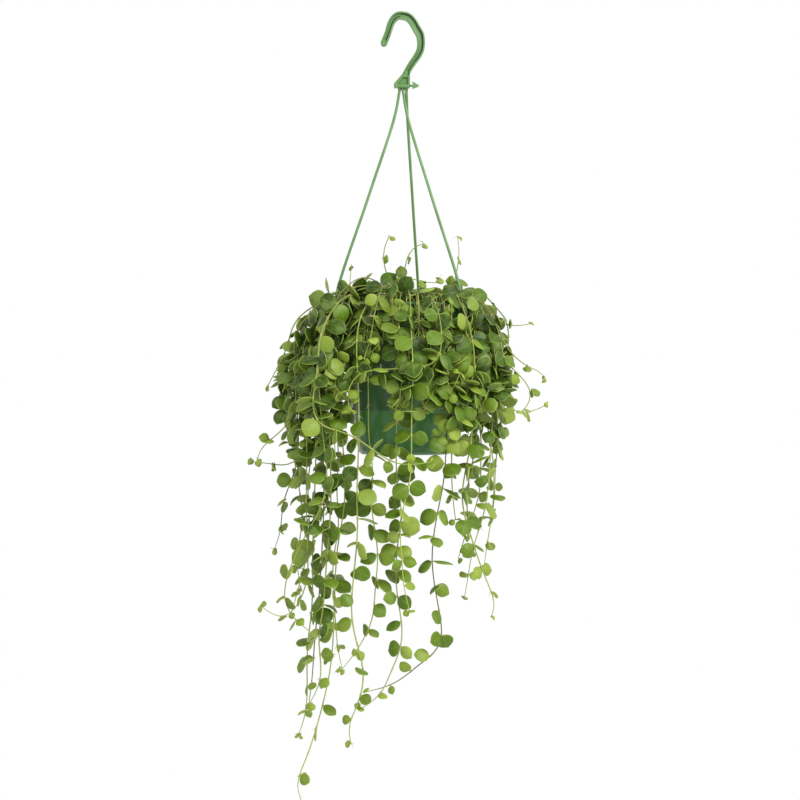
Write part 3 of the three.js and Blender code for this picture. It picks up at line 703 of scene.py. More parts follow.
def leaf_blade(pose, draw):
    """One thick, near-round blade with a short point, domed and a little curled."""
    trait = {name: draw(*limits) for name, limits in BLADE_TRAITS.items()}
    long = LEAF_LENGTH * pose["size"] - LEAF_SUNK - STALK + LEAF_EXTRA * pose["ageing"]
    wide = LEAF_WIDTH * pose["size"] * trait["width"]
    x = 0.5 - 0.5 * np.cos(LEAF_ANGLES)
    y = 0.5 * np.sin(LEAF_ANGLES)
    ends = np.abs(np.cos(LEAF_ANGLES)) ** 3
    y = y * (1 - trait["taper"] * ends * np.where(x > 0.5, 1.0, BASE_TAPER))
    x = x * (1 - trait["point"]) + trait["point"] * (x > 0.999)
    rows = [(0.0, 1, np.array([0.5]), np.array([0.0]))]
    rows += [(share, side, 0.5 + (x - 0.5) * share, y * share) for share, side in RINGS]
    rows.append((0.0, -1, np.array([0.5]), np.array([0.0])))
    points, places, edges = [], [], []
    for share, side, along, across in rows:
        thick = BLADE_SWELL * math.sqrt(max(0.0, 1 - share ** 2)) + (
            BLADE_EDGE if share < 1 else 0)
        curl = trait["curl"] * (along - CURL_CENTRE) ** 2 * CURL_GAIN
        height = side * thick + trait["dome"] * (1 - share ** 2)
        height = height - curl - trait["cup"] * (2 * across) ** 2
        ripple = np.sin(WAVES * LEAF_ANGLES[:len(along)] + trait["phase"])
        height = height + trait["wave"] * share ** 3 * ripple
        turn = trait["twist"] * (along - 0.5)
        sideways = across * wide
        points.append(np.stack([along * long, sideways * np.cos(turn),
                                height + sideways * np.sin(turn)], axis=1))
        places.append(np.stack([along, across, np.full(len(along), float(side))], axis=1))
        edges.append(np.full(len(along), share))
    base = pose["here"] + pose["direction"] * STALK
    points = base + np.concatenate(points) @ leaf_axes(pose)
    return points, np.concatenate(places), np.concatenate(edges)


def tube(points, radii, sides):
    """A closed round tube along the points, with its own radius at each."""
    points = np.array(points, float)
    tangents = np.gradient(points, axis=0)
    tangents /= np.linalg.norm(tangents, axis=1)[:, None]
    helper = np.array([1.0, 0, 0]) if abs(tangents[0][0]) < 0.8 else np.array([0, 1.0, 0])
    normal = unit(np.cross(tangents[0], helper))
    rings = []
    angles = np.linspace(0, 2 * math.pi, sides, endpoint=False)
    for point, tangent, radius in zip(points, tangents, radii):
        normal = unit(normal - tangent * np.dot(normal, tangent))
        other = np.cross(tangent, normal)
        rings.append(point + radius * (np.cos(angles)[:, None] * normal
                                       + np.sin(angles)[:, None] * other))
    count = len(points)
    faces = [(ring * sides + side, ring * sides + (side + 1) % sides,
              (ring + 1) * sides + (side + 1) % sides, (ring + 1) * sides + side)
             for ring in range(count - 1) for side in range(sides)]
    faces.append(tuple(range(sides))[::-1])
    faces.append(tuple((count - 1) * sides + side for side in range(sides)))
    return np.concatenate(rings), faces


# A stem's rings, in mm along it, how it swells at its nodes and thins at its end, and how
# much browner and darker it is from a height upwards, where stems are older and painted shade
# darkens the mound; then the slots of a vine's three finishes
STEM_STEP = 6.5
STEM_SIDES = 6
NODE_STATIONS = (-2.6, -1.1, 0.4, 2.2)
CLOSEST_RINGS = 0.5
NODE_REACH = 1.5
NODE_SWELLING = 0.5
THINS_OVER = 60
END_GIRTH = 0.55
TIP_GIRTH = 0.4
SHADED_FROM = -60
SHADED_OVER = 50
SHADED_BY = 0.4
AERIAL_ROOT_RADII = [0.34, 0.27, 0.22, 0.1]
LEAF, STEM, ROOT = 0, 1, 2


class Growth:
    """Gathers the blades, stems and roots of one piece."""

    def __init__(self):
        self.points, self.faces, self.places, self.tones, self.finish = [], [], [], [], []
        self.count = 0

    def add(self, points, faces, places, tones, finish):
        self.points.append(points)
        self.places.append(places)
        self.tones.append(tones)
        self.faces += [tuple(corner + self.count for corner in face) for face in faces]
        self.finish += [finish] * len(faces)
        self.count += len(points)

    def leaf(self, pose, draw, tint):
        points, places, edges = leaf_blade(pose, draw)
        youth = max(0.0, 1.25 - 1.3 * pose["ageing"])
        youth += PALE_TONE if draw(0, 1) < PALE_SHARE else 0
        tones = np.stack([edges, np.full(len(edges), tint), np.full(len(edges), youth),
                          np.full(len(edges), draw(0, 1))], axis=1)
        self.add(points, LEAF_FACES, places, tones, LEAF)
        line = [pose["here"] + pose["direction"] * reach for reach in (-0.3, 0.9, STALK + 1.4)]
        self.plain_tube(line, STALK_RADII, STALK_SIDES, (0.5, 0.0, 0.0), (0.0, tint, 0.6, 0.5),
                        STEM)

    def plain_tube(self, line, radii, sides, place, tone, finish):
        points, faces = tube(line, radii, sides)
        self.add(points, faces, np.tile([place], (len(points), 1)),
                 np.tile([tone], (len(points), 1)), finish)

    def stem(self, dense, node_lengths, girth, shade):
        """A stem along its route, a little swollen at each leaf node and thin at its end."""
        lengths = lengths_along(dense)
        total = lengths[-1]
        stations = set(np.arange(0, total, STEM_STEP).tolist()) | {0.0, total}
        for node in node_lengths:
            stations |= {min(max(node + step, 0), total) for step in NODE_STATIONS}
        stations = sorted(stations)
        kept = [stations[0]]
        for station in stations[1:]:
            if station - kept[-1] > CLOSEST_RINGS:
                kept.append(station)
        kept[-1] = total
        kept = np.array(kept)
        centre = np.array(dense)
        line = np.stack([np.interp(kept, lengths, centre[:, axis]) for axis in range(3)], axis=1)
        apart = np.abs(kept[:, None] - np.array(node_lengths)[None]).min(1)
        nearness = np.exp(-(apart / NODE_REACH) ** 2)
        full = np.clip((total - kept) / THINS_OVER, 0, 1) ** 0.6
        radii = girth * (END_GIRTH + (1 - END_GIRTH) * full) * (1 + NODE_SWELLING * nearness)
        radii[-1] *= TIP_GIRTH
        points, faces = tube(line, radii, STEM_SIDES)
        none = np.zeros(len(kept))
        # Painted shade, with older stems: the share that darkens a stem rises with its height in
        # the mound
        lit = np.clip((line[:, 2] - SHADED_FROM) / SHADED_OVER, 0, 1)
        shades = np.clip(shade + SHADED_BY * lit, 0, 1)
        places = np.stack([kept / 100, none, none], axis=1)
        tones = np.stack([nearness, shades, 1 - full, none], axis=1)
        self.add(points, faces, np.repeat(places, STEM_SIDES, axis=0),
                 np.repeat(tones, STEM_SIDES, axis=0), STEM)

    def root(self, here, direction, long, draw):
        """One fine aerial root that wriggles as it goes."""
        line = [here]
        heading = direction
        steps = len(AERIAL_ROOT_RADII) - 1
        for _ in range(steps):
            wriggle = [draw(-0.5, 0.5), draw(-0.5, 0.5), draw(-0.6, 0.3)]
            heading = unit(heading + np.array(wriggle))
            line.append(line[-1] + heading * long / steps)
        self.plain_tube(line, AERIAL_ROOT_RADII, 4, (0.0, 0.0, 0.0), (0.0, draw(0, 1), 0.0, 0.0),
                        ROOT)

    def piece(self, name, finishes):
        points = (np.concatenate(self.points) + [POT_X, 0, RIM_Z]) / 1000
        mesh = bpy.data.meshes.new(name)
        mesh.from_pydata(points.tolist(), [], self.faces)
        mesh.polygons.foreach_set("material_index", self.finish)
        mesh.polygons.foreach_set("use_smooth", [True] * len(self.faces))
        place = mesh.attributes.new("blade_place", "FLOAT_VECTOR", "POINT")
        place.data.foreach_set("vector", np.concatenate(self.places).astype(np.float32).ravel())
        tone = mesh.attributes.new("blade_tone", "FLOAT_COLOR", "POINT")
        tone.data.foreach_set("color", np.concatenate(self.tones).astype(np.float32).ravel())
        for finish in finishes:
            mesh.materials.append(finish)
        mesh.update()
        return placed(name, mesh)


def placed(name, data):
    """An object with this mesh, light or camera, in the scene."""
    made = bpy.data.objects.new(name, data)
    bpy.context.scene.collection.objects.link(made)
    return made


# Sprigs
def mound_lean(angle):
    """The mound reaches a little further to the left."""
    return 0.96 - 0.08 * math.cos(angle)


def mound_radius(z, angle):
    """How far out the mound's stems lie at a height."""
    return float(np.interp(z, MOUND_HEIGHTS, MOUND_RADII)) * mound_lean(angle)


def crest_height(point):
    """How high the leaves that fill the mound may stand, which falls off towards the rim."""
    reach = math.hypot(point[0], point[1]) / mound_lean(math.atan2(point[1], point[0]))
    return float(np.interp(reach, CREST_RADII, CREST_HEIGHTS))


def crown_sprig(sprig, draw):
    """A short shoot that rises from the soil and leans outwards."""
    angle = sprig * GOLDEN_TURN + draw(*CROWN_SPRIG["jitter"])
    inner = CROWN_INNER + CROWN_SPREAD * (sprig / CROWN_SPRIGS) ** 0.7
    tall = draw(*CROWN_SPRIG["tall"])
    tall += max(0, CROWN_MIDDLE - inner) * draw(*CROWN_SPRIG["taller"])
    start = polar(inner, angle, SOIL_Z - SPRIG_ROOT_DEPTH)
    out = polar(inner + draw(*CROWN_SPRIG["out"]), angle, tall * 0.5)
    lean = angle + draw(*CROWN_SPRIG["lean"])
    top = polar(inner + draw(*CROWN_SPRIG["top"]), lean, tall)
    end = polar(inner + draw(*CROWN_SPRIG["end"]), lean + draw(*CROWN_SPRIG["bend"]),
                tall - draw(*CROWN_SPRIG["fall"]))
    return [start, out, top, end]


def rim_sprig(sprig, draw):
    """A short shoot that goes over the rim and hangs, and the side of the mound it is on."""
    angle = sprig * GOLDEN_TURN + draw(*RIM_SPRIG["jitter"])
    inner = draw(*RIM_SPRIG["inner"])
    spread = draw(*RIM_SPRIG["spread_left" if math.cos(angle) < -0.3 else "spread"])
    degrees = math.degrees(angle) % 360
    front = FRONT_DEGREES[0] < degrees < FRONT_DEGREES[1]
    lowest = draw(*RIM_SPRIG["lowest_front" if front else "lowest"])
    if LOWER_FRONT_FROM < degrees < FRONT_DEGREES[1]:
        lowest *= LOWER_FRONT
    points = [polar(inner, angle, SOIL_Z - SPRIG_ROOT_DEPTH),
              polar(inner + 6, angle, draw(*RIM_SPRIG["rise"])),
              polar(POT_TOP_RADIUS + 3, angle, draw(*RIM_SPRIG["over_rim"]))]
    turn = angle
    z = draw(*RIM_SPRIG["top"])
    beside = POT_TOP_RADIUS + BESIDE_WALL
    while z > lowest:
        points.append(polar(beside + spread * (mound_radius(z, turn) - POT_TOP_RADIUS
                                               - BESIDE_WALL), turn, z))
        turn += draw(-SPRIG_TURN, SPRIG_TURN)
        z -= SPRIG_STEP
    points.append(polar(mound_radius(lowest, turn) * spread, turn, lowest))
    side = ("front" if front else "left" if 135 < degrees <= FRONT_DEGREES[0]
            else "back" if 45 < degrees <= 135 else "right")
    return side, points


def sprig_routes():
    """Short shoots from the soil: over the crown, and over the rim all round."""
    draw = draws_from(SPRIG_SEED)
    routes = {"crown": [crown_sprig(sprig, draw) for sprig in range(CROWN_SPRIGS)],
              "front": [], "left": [], "right": [], "back": []}
    for sprig in range(RIM_SPRIGS):
        side, points = rim_sprig(sprig, draw)
        # The mound is thinner at the right: every fourth sprig is left out there
        if side != "right" or sprig % 4:
            routes[side].append(points)
    return routes


def bend_clear_of_pot(dense):
    """Keeps a sprig's stem off the rim and the wall."""
    kept = []
    for x, y, z in dense:
        reach = math.hypot(x, y)
        if z < SOIL_Z + 2:
            clear = reach < POT_TOP_RADIUS - STEM_INSIDE_WALL or reach > RIM_MIDDLE_RADIUS
            share = 1 if clear else STEM_OUTSIDE_WALL / reach
            kept.append((x * share, y * share, z))
            continue
        gap = math.hypot(reach - RIM_MIDDLE_RADIUS, z + 1)
        kept.append((x, y, z + OVER_RIM + 1 - gap if gap < OVER_RIM else z))
    return kept


def planned_sprigs():
    sprigs = []
    for side, routes in sprig_routes().items():
        for points in routes:
            dense = bend_clear_of_pot(dense_points(points))
            sprigs.append({"side": side, "dense": dense, "extra": {},
                           "nodes": even_nodes(dense, SPRIG_INTERNODE)})
    return sprigs


def grow_nodes(growth, vine, draw, matched):
    """Leaves and aerial roots at the nodes of one vine, paler the lower they hang, with painted
    shade darkening those in the mound near the rim.
    """
    nodes = vine["nodes"]
    for node in range(1, len(nodes)):
        here = np.array(nodes[node])
        # Painted shade: leaf tints darken near the rim, where the mound is dense, and lighten
        # lower down
        deep = float(np.interp(-here[2], *SHADE_DARKENING))
        least = float(np.interp(-here[2], *LEAST_TINT))
        for pose in matched.get(node, []) + vine["extra"].get(node, []):
            growth.leaf(pose, draw, least + (1 - least) * draw(0, 1) ** deep)
        if not in_soil(here) and draw(0, 1) < ROOTED_SHARE:
            along = way_along(nodes, node)
            for _ in range(1 + int(draw(*ROOTS_AT_NODE))):
                way = np.cross(along, [draw(-1, 1), draw(-1, 1), draw(-1, 1) + 0.01])
                growth.root(here, unit(way), draw(*AERIAL_ROOT_LENGTH), draw)


# Materials
def srgb(red, green, blue):
    return tuple((value / 255 / 12.92 if value / 255 <= 0.04045
                  else ((value / 255 + 0.055) / 1.055) ** 2.4)
                 for value in (red, green, blue)) + (1.0,)


class Level:
    """A number that changes over a surface, with the operators that finishes use."""

    def __init__(self, finish, socket):
        self.finish, self.socket = finish, socket

    def maths(self, operation, *values, clamp=False):
        node = self.finish.node("ShaderNodeMath", {"operation": operation, "use_clamp": clamp},
                                dict(enumerate(values)))
        return Level(self.finish, node.outputs[0])

    def __add__(self, other):
        return self.maths("ADD", self, other)

    def __sub__(self, other):
        return self.maths("SUBTRACT", self, other)

    def __mul__(self, other):
        return self.maths("MULTIPLY", self, other)

    def __rsub__(self, other):
        return self.maths("SUBTRACT", other, self)

    __radd__ = __add__
    __rmul__ = __mul__

    def __abs__(self):
        return self.maths("ABSOLUTE", self)

    def clamped(self):
        return self.maths("ADD", self, 0, clamp=True)

    def rise(self, low, high):
        """0 below low, 1 above high, and smooth between them."""
        node = self.finish.node("ShaderNodeMapRange", {"interpolation_type": "SMOOTHSTEP"},
                                {"Value": self, "From Min": low, "From Max": high})
        return Level(self.finish, node.outputs[0])


class Finish:
    """One material: its nodes, and the Principled shader that they feed."""

    def __init__(self, name, **constants):
        self.material = bpy.data.materials.new(name)
        self.material.use_nodes = True
        self.tree = self.material.node_tree
        self.surface = self.tree.nodes["Principled BSDF"]
        for socket, value in constants.items():
            self.surface.inputs[socket.replace("_", " ")].default_value = value

    def node(self, kind, settings=None, sockets=None):
        made = self.tree.nodes.new(kind)
        for name, value in (settings or {}).items():
            if name == "stops":
                ramp = made.color_ramp
                while len(ramp.elements) < len(value):
                    ramp.elements.new(0.5)
                for stop, (place, colour) in zip(ramp.elements, value):
                    stop.position, stop.color = place, colour
            else:
                setattr(made, name, value)
        for name, value in (sockets or {}).items():
            self.feed(made.inputs[name], value)
        return made

    def feed(self, socket, value):
        if isinstance(value, Level):
            value = value.socket
        if isinstance(value, bpy.types.NodeSocket):
            self.tree.links.new(value, socket)
        else:
            socket.default_value = value

    def mix(self, share, first, second, blend="MIX"):
        node = self.node("ShaderNodeMix", {"data_type": "RGBA", "blend_type": blend},
                         {0: share, 6: first, 7: second})
        return node.outputs[2]

    def grain(self, vector, scale, detail=3, roughness=0.5):
        node = self.node("ShaderNodeTexNoise", {}, {"Vector": vector, "Scale": scale,
                                                    "Detail": detail, "Roughness": roughness})
        return Level(self, node.outputs["Fac"])

    def parts(self, vector):
        node = self.node("ShaderNodeSeparateXYZ", {}, {0: vector})
        return [Level(self, socket) for socket in node.outputs]

    def attribute(self, name):
        return self.node("ShaderNodeAttribute", {"attribute_name": name}).outputs

    def place(self):
        return self.node("ShaderNodeTexCoord").outputs["Object"]

    def scaled(self, vector, factors):
        node = self.node("ShaderNodeVectorMath", {"operation": "MULTIPLY"},
                         {0: vector, 1: factors})
        return node.outputs[0]

    def show(self, colour=None, roughness=None, height=None, strength=0.2, distance=0.0005):
        if colour is not None:
            self.feed(self.surface.inputs["Base Color"], colour)
        if roughness is not None:
            self.feed(self.surface.inputs["Roughness"], roughness)
        if height is not None:
            bump = self.node("ShaderNodeBump", {}, {"Strength": strength, "Distance": distance,
                                                    "Height": height})
            self.feed(self.surface.inputs["Normal"], bump.outputs[0])
        return self.material


def leaf_finish():
    """Waxy green blade with a pale margin, a faint midrib, a paler underside and patches of
    painted sheen.
    """
    finish = Finish("waxy_leaf", IOR=1.4, Specular_IOR_Level=0.35)
    tone = finish.attribute("blade_tone")
    edge, tint, youth = finish.parts(tone["Color"])
    _, across, side = finish.parts(finish.attribute("blade_place")["Vector"])
    where = finish.place()
    green = finish.node("ShaderNodeValToRGB", {"stops": [
        (0.0, srgb(30, 52, 2)), (0.35, srgb(50, 77, 4)), (0.7, srgb(82, 110, 16)),
        (1.0, srgb(138, 156, 62))]}, {0: tint}).outputs[0]
    mottle = finish.grain(where, 260, 3)
    green = finish.mix(mottle.rise(0.35, 0.75) * 0.3, green, srgb(96, 120, 28))
    green = finish.mix(youth.clamped() * 0.85, green, srgb(148, 168, 58))
    # Painted sheen: paler grey-green patches that stand in for the white studio reflected in the
    # waxy blade
    painted_sheen = finish.grain(where, 62, 1).rise(0.5, 0.7)
    green = finish.mix(painted_sheen * 0.4, green, srgb(118, 142, 68))
    midrib = (1 - abs(across).rise(0.004, 0.03)) * side.rise(0.2, 0.8) * (1 - edge.rise(0.7, 0.9))
    green = finish.mix(midrib * 0.3, green, srgb(130, 158, 66))
    under = 1 - side.rise(-0.9, -0.2)
    green = finish.mix(under * 0.65, green, srgb(128, 148, 70))
    margin = edge.rise(0.92, 0.985) * 0.6
    green = finish.mix(margin, green, srgb(146, 168, 70))
    veins = finish.grain(where, 900, 2)
    return finish.show(green, 0.4 + mottle * 0.16 + under * 0.15, veins, 0.12, 0.0002)


def stem_finish():
    """Pale yellow-green stem, browner where it is old and darker where shade is painted on it,
    with tan swollen nodes.
    """
    finish = Finish("vine_stem", IOR=1.42)
    nearness, shade, youth = finish.parts(finish.attribute("blade_tone")["Color"])
    streak = finish.grain(finish.scaled(finish.place(), (1.0, 1.0, 0.3)), 700, 3)
    green = finish.mix(shade, srgb(148, 166, 74), srgb(88, 88, 42))
    green = finish.mix(youth.clamped() * 0.6, green, srgb(142, 166, 66))
    green = finish.mix(streak.rise(0.4, 0.8) * 0.35, green, srgb(118, 132, 58))
    green = finish.mix(nearness * 0.5, green, srgb(168, 150, 78))
    return finish.show(green, 0.45 + streak * 0.2, streak, 0.3, 0.0002)


def root_finish():
    finish = Finish("aerial_root", IOR=1.4)
    shade = finish.parts(finish.attribute("blade_tone")["Color"])[1]
    grain = finish.grain(finish.place(), 1200, 2)
    colour = finish.mix(shade, srgb(205, 206, 170), srgb(160, 140, 96))
    colour = finish.mix(grain.rise(0.4, 0.7) * 0.4, colour, srgb(120, 104, 70))
    return finish.show(colour, 0.7 + grain * 0.2, grain, 0.3, 0.0001)


def pot_finish():
    """Deep green plastic, with painted shade under the leaves, less of it on the right where
    painted light falls, and painted shade at its base. Heights are in metres.
    """
    finish = Finish("green_pot_plastic", IOR=1.48)
    where = finish.place()
    right, _, height = finish.parts(where)
    cloud = finish.grain(finish.scaled(where, (1.0, 1.0, 0.25)), 22, 2)
    drift = finish.grain(where, 7, 1)
    # Painted shade over the upper pot under the leaves, eased on the right by painted light
    leaf_shaded = height.rise(-0.4195, -0.4170)
    lit = 1 - leaf_shaded * (0.75 - right.rise(-0.01, 0.03) * 0.6)
    # Painted shade towards the base
    base = 1 - height.rise(-0.468, -0.436)
    green = finish.mix(lit, srgb(58, 86, 58), srgb(74, 130, 68))
    green = finish.mix(base * 0.75, green, srgb(52, 92, 50))
    green = finish.mix(cloud.rise(0.45, 0.75) * 0.35, green, srgb(92, 150, 90))
    green = finish.mix(drift.rise(0.5, 0.75) * 0.5, green, srgb(44, 76, 48))
    scuff = finish.grain(finish.scaled(where, (1.0, 1.0, 3.0)), 320, 4)
    return finish.show(green, 0.2 + scuff.rise(0.45, 0.8) * 0.14, scuff, 0.05, 0.0002)


def hanger_finish():
    """Mid green moulded plastic, slightly uneven in its gloss, with painted shade down in its
    groove.
    """
    finish = Finish("green_hanger_plastic", IOR=1.48, Specular_IOR_Level=0.4)
    where = finish.place()
    flow = finish.grain(finish.scaled(where, (1.0, 1.0, 0.35)), 90, 3)
    green = finish.mix(flow.rise(0.35, 0.75), srgb(84, 122, 68), srgb(104, 142, 84))
    # Painted shade down in the groove
    hollow = Level(finish, finish.attribute("hollow")["Fac"])
    green = finish.mix(hollow.rise(0.05, 0.8) * 0.92, green, srgb(20, 34, 16))
    fine = finish.grain(where, 900, 2)
    return finish.show(green, 0.34 + fine * 0.14, fine, 0.03, 0.0001)


def soil_finish():
    finish = Finish("potting_mix", IOR=1.3)
    where = finish.place()
    crumb = finish.grain(where, 420, 6, 0.7)
    clump = finish.grain(where, 90, 3)
    brown = finish.mix(crumb.rise(0.35, 0.7), srgb(38, 27, 20), srgb(84, 62, 44))
    brown = finish.mix(clump.rise(0.5, 0.8) * 0.5, brown, srgb(58, 46, 34))
    return finish.show(brown, 0.85 + crumb * 0.1, crumb, 0.8, 0.001)


def crumb_finish():
    finish = Finish("bark_and_pumice", IOR=1.3)
    where = finish.place()
    kind = finish.grain(where, 60, 1)
    grit = finish.grain(where, 900, 4, 0.7)
    bark = finish.mix(grit.rise(0.35, 0.7), srgb(70, 46, 30), srgb(120, 84, 56))
    colour = finish.mix(kind.rise(0.56, 0.58), bark, srgb(196, 190, 176))
    return finish.show(colour, 0.8 + grit * 0.15, grit, 0.6, 0.0006)


# Pot, soil and hanger
def mesh_piece(name, build, finish, lift=True, smooth_angle=35):
    """Runs a build on a new bmesh, in mm, and makes it a piece in metres."""
    form = bmesh.new()
    build(form)
    bmesh.ops.recalc_face_normals(form, faces=form.faces)
    offset = Vector((POT_X, 0, RIM_Z)) if lift else Vector((0, 0, 0))
    for vert in form.verts:
        vert.co = (vert.co + offset) / 1000
    mesh = bpy.data.meshes.new(name)
    form.to_mesh(mesh)
    form.free()
    for material in finish if isinstance(finish, list) else [finish]:
        mesh.materials.append(material)
    mesh.polygons.foreach_set("use_smooth", [True] * len(mesh.polygons))
    mesh.set_sharp_from_angle(angle=math.radians(smooth_angle))
    return placed(name, mesh)


def add_lathe(form, profile, sides):
    """Turns a profile of (radius, height) about the Z axis; radius 0 closes it."""
    rings = []
    for radius, z in profile:
        if radius < 1e-6:
            rings.append([form.verts.new((0, 0, z))])
        else:
            rings.append([form.verts.new(polar(radius, 2 * math.pi * side / sides, z))
                          for side in range(sides)])
    for first, second in zip(rings, rings[1:]):
        for side in range(sides):
            after = (side + 1) % sides
            corners = [first[side % len(first)], first[after % len(first)],
                       second[after % len(second)], second[side % len(second)]]
            kept = list(dict.fromkeys(corners))
            if len(kept) > 2:
                form.faces.new(kept)
    return [vert for ring in rings for vert in ring]


def add_band(form, first, second):
    """The faces between two loops that have as many corners."""
    count = len(first)
    return [form.faces.new((first[side], first[(side + 1) % count],
                            second[(side + 1) % count], second[side]))
            for side in range(count)]


def moved(verts, offset):
    for vert in verts:
        vert.co += Vector(offset)


# How many sides each turned form has
POT_SIDES = 96
SOIL_SIDES = 84
LUG_SIDES = 24
DRAIN_SIDES = 20
BUTTON_SIDES = 20
NUB_SIDES = 16


def pot_inner_radius(z):
    return pot_outer_radius(z) - POT_WALL


def pot_profile():
    inside = pot_inner_radius
    floor = POT_FLOOR - POT_HEIGHT
    under = -POT_HEIGHT + 0.9
    outer = [(0, under), (22, under), (42, under), (43, -POT_HEIGHT),
             (FOOT_RADIUS, -POT_HEIGHT), (47.6, -POT_HEIGHT + 0.7), (49.3, -POT_HEIGHT + 2.4),
             (pot_outer_radius(-POT_HEIGHT + 4.5), -POT_HEIGHT + 4.5)]
    outer += [(pot_outer_radius(z), z) for z in range(-148, -17, 13)]
    rim = [(POT_TOP_RADIUS - 0.6, -RIM_THICKNESS - 1), (POT_TOP_RADIUS + 0.5, -RIM_THICKNESS),
           (RIM_RADIUS - 0.5, -RIM_THICKNESS), (RIM_RADIUS, -RIM_THICKNESS + 0.5),
           (RIM_RADIUS, -0.8), (RIM_RADIUS - 0.3, -0.25), (RIM_RADIUS - 0.9, 0),
           (inside(0) + 0.4, 0), (inside(0), -0.4)]
    inner = [(inside(z), z) for z in (-10, -18, -50, -90, -130)]
    return outer + rim + inner + [(inside(floor), floor + 2), (inside(floor) - 1.5, floor),
                                  (20, floor), (0, floor)]


def build_pot(form):
    add_lathe(form, pot_profile(), POT_SIDES)
    under = -RIM_THICKNESS + 0.05
    lug = [(0, under), (LUG_RADIUS - 0.4, under), (LUG_RADIUS, -RIM_THICKNESS + 0.4),
           (LUG_RADIUS, -0.9), (LUG_RADIUS - 0.5, -0.4), (0, -0.4)]
    for name in STRANDS:
        moved(add_lathe(form, lug, LUG_SIDES), strand_spot(name))


def build_drains(form):
    low, high = -POT_HEIGHT - 4, -POT_HEIGHT + 6
    drain = [(0, low), (DRAIN_RADIUS, low), (DRAIN_RADIUS, high), (0, high)]
    for hole in range(DRAIN_HOLES):
        moved(add_lathe(form, drain, DRAIN_SIDES),
              polar(DRAIN_RING, 2 * math.pi * (hole + 0.5) / DRAIN_HOLES, 0))


def cut_away(piece, tool):
    """Cuts the tool's form out of the piece and drops the tool."""
    modifier = piece.modifiers.new("cut", "BOOLEAN")
    modifier.operation, modifier.solver, modifier.object = "DIFFERENCE", "EXACT", tool
    bpy.context.view_layer.update()
    evaluated = piece.evaluated_get(bpy.context.evaluated_depsgraph_get())
    mesh = bpy.data.meshes.new_from_object(evaluated)
    piece.modifiers.clear()
    piece.data = mesh
    bpy.data.objects.remove(tool)


SOIL_SEED = 600
SOIL_GAP = 0.7
SOIL_RINGS = [1, 0.97, 0.93, 0.88, 0.82, 0.76, 0.7, 0.63, 0.56, 0.49, 0.42, 0.35, 0.28, 0.21,
              0.14, 0.07, 0]
CRUMBS = 380
CRUMB_SIZE = (0.9, 2.6)
SOIL_CRUMB = 1


def soil_radius(z):
    return pot_inner_radius(z) - SOIL_GAP


def build_soil(form):
    """Potting mix with an uneven top that falls off at the wall, and loose crumbs on it."""
    draw = draws_from(SOIL_SEED)
    bottom = POT_FLOOR + 0.6 - POT_HEIGHT
    profile = [(0, bottom), (soil_radius(bottom) - 2, bottom), (soil_radius(bottom), bottom + 3),
               (soil_radius(-80), -80), (soil_radius(-18), -18)]
    profile += [(soil_radius(SOIL_Z) * share, SOIL_Z) for share in SOIL_RINGS]
    for vert in add_lathe(form, profile, SOIL_SIDES):
        if vert.co.z > SOIL_Z - 0.01:
            coarse = noise.noise(vert.co * 0.06) * 2.4
            fine = noise.noise(vert.co * 0.31 + Vector((9, 4, 2))) * 1.6
            share = math.hypot(vert.co.x, vert.co.y) / soil_radius(SOIL_Z)
            vert.co.z += min(coarse + fine, 1.8) - max(0.0, share - 0.9) * 12 - 0.4
    for crumb in range(CRUMBS):
        radius = math.sqrt(draw(0, 1)) * (soil_radius(SOIL_Z) - 4)
        x, y, _ = polar(radius, draw(0, 2 * math.pi), 0)
        size = draw(*CRUMB_SIZE)
        made = bmesh.ops.create_icosphere(form, subdivisions=1, radius=size)["verts"]
        spin = draw(0, 3)
        for vert in made:
            rough = 1 + 0.35 * noise.noise(vert.co * 0.9 + Vector((crumb, 0, 0)))
            flat = Vector((vert.co.x * math.cos(spin) - vert.co.y * 0.6 * math.sin(spin),
                           vert.co.x * math.sin(spin) + vert.co.y * 0.6 * math.cos(spin),
                           vert.co.z * 0.55))
            vert.co = flat * rough + Vector((x, y, SOIL_Z + 0.6))
            for face in vert.link_faces:
                face.material_index = SOIL_CRUMB


# The hook's centre line as [right, up], from its tip; the outline of the barb on its foot;
# and the foot and its pocket
HOOK_LINE = [(-19.9, -25.2, 0), (-15.7, -14.7, 0), (-12.3, -4.1, 0), (-8.6, 1.5, 0),
             (-4.8, 4, 0), (-0.2, 4.2, 0), (5.8, 2.6, 0), (11, -2.6, 0), (14.8, -9.4, 0),
             (18.6, -16.2, 0), (19.7, -22.1, 0), (19.7, -28.2, 0), (18.6, -33.5, 0),
             (15.5, -39.5, 0), (11.8, -44.8, 0), (7.3, -51.6, 0), (3.4, -59, 0)]
BARB = [(7.2, -71.7), (12.9, -71.7), (10.1, -73.2), (10.7, -74.1), (17.2, -71.7),
        (17.9, -70.7), (17.2, -69.7), (10.7, -66.3), (10.1, -67.2), (12.9, -69.7), (7.2, -69.7)]
FOOT = [(-9.3, BASE_BOTTOM_Z), (8, BASE_BOTTOM_Z), (8, -57), (1, -57), (-9.3, -69)]
FOOT_POCKET = [(-5, -69.5), (6, -69.5), (6, -62), (0.5, -62), (-4.4, -68.2)]
HOOK_STEPS = 84
HOOK_TIP_ANGLES = (88, 72, 54, 36, 18)
POCKET_DEPTH = (HOOK_DEPTH - WEB) / 2
EASE = 0.55
BARB_EASE = 0.35
FOOT_EASE = 0.4


def hook_section(half, pocket, deep):
    """The hook's I-shaped section, with eased corners, as (sideways, depth) points."""
    front = HOOK_DEPTH / 2
    quarter = [(half, front - EASE), (half - 0.16, front - 0.16), (half - EASE, front),
               (pocket + 0.35, front), (pocket, front - 0.35), (pocket - 0.15, front - deep + 0.2),
               (pocket - 0.45, front - deep), (0, front - deep)]
    upper = quarter + [(-x, y) for x, y in quarter[-2::-1]]
    return upper + [(x, -y) for x, y in upper[::-1]]


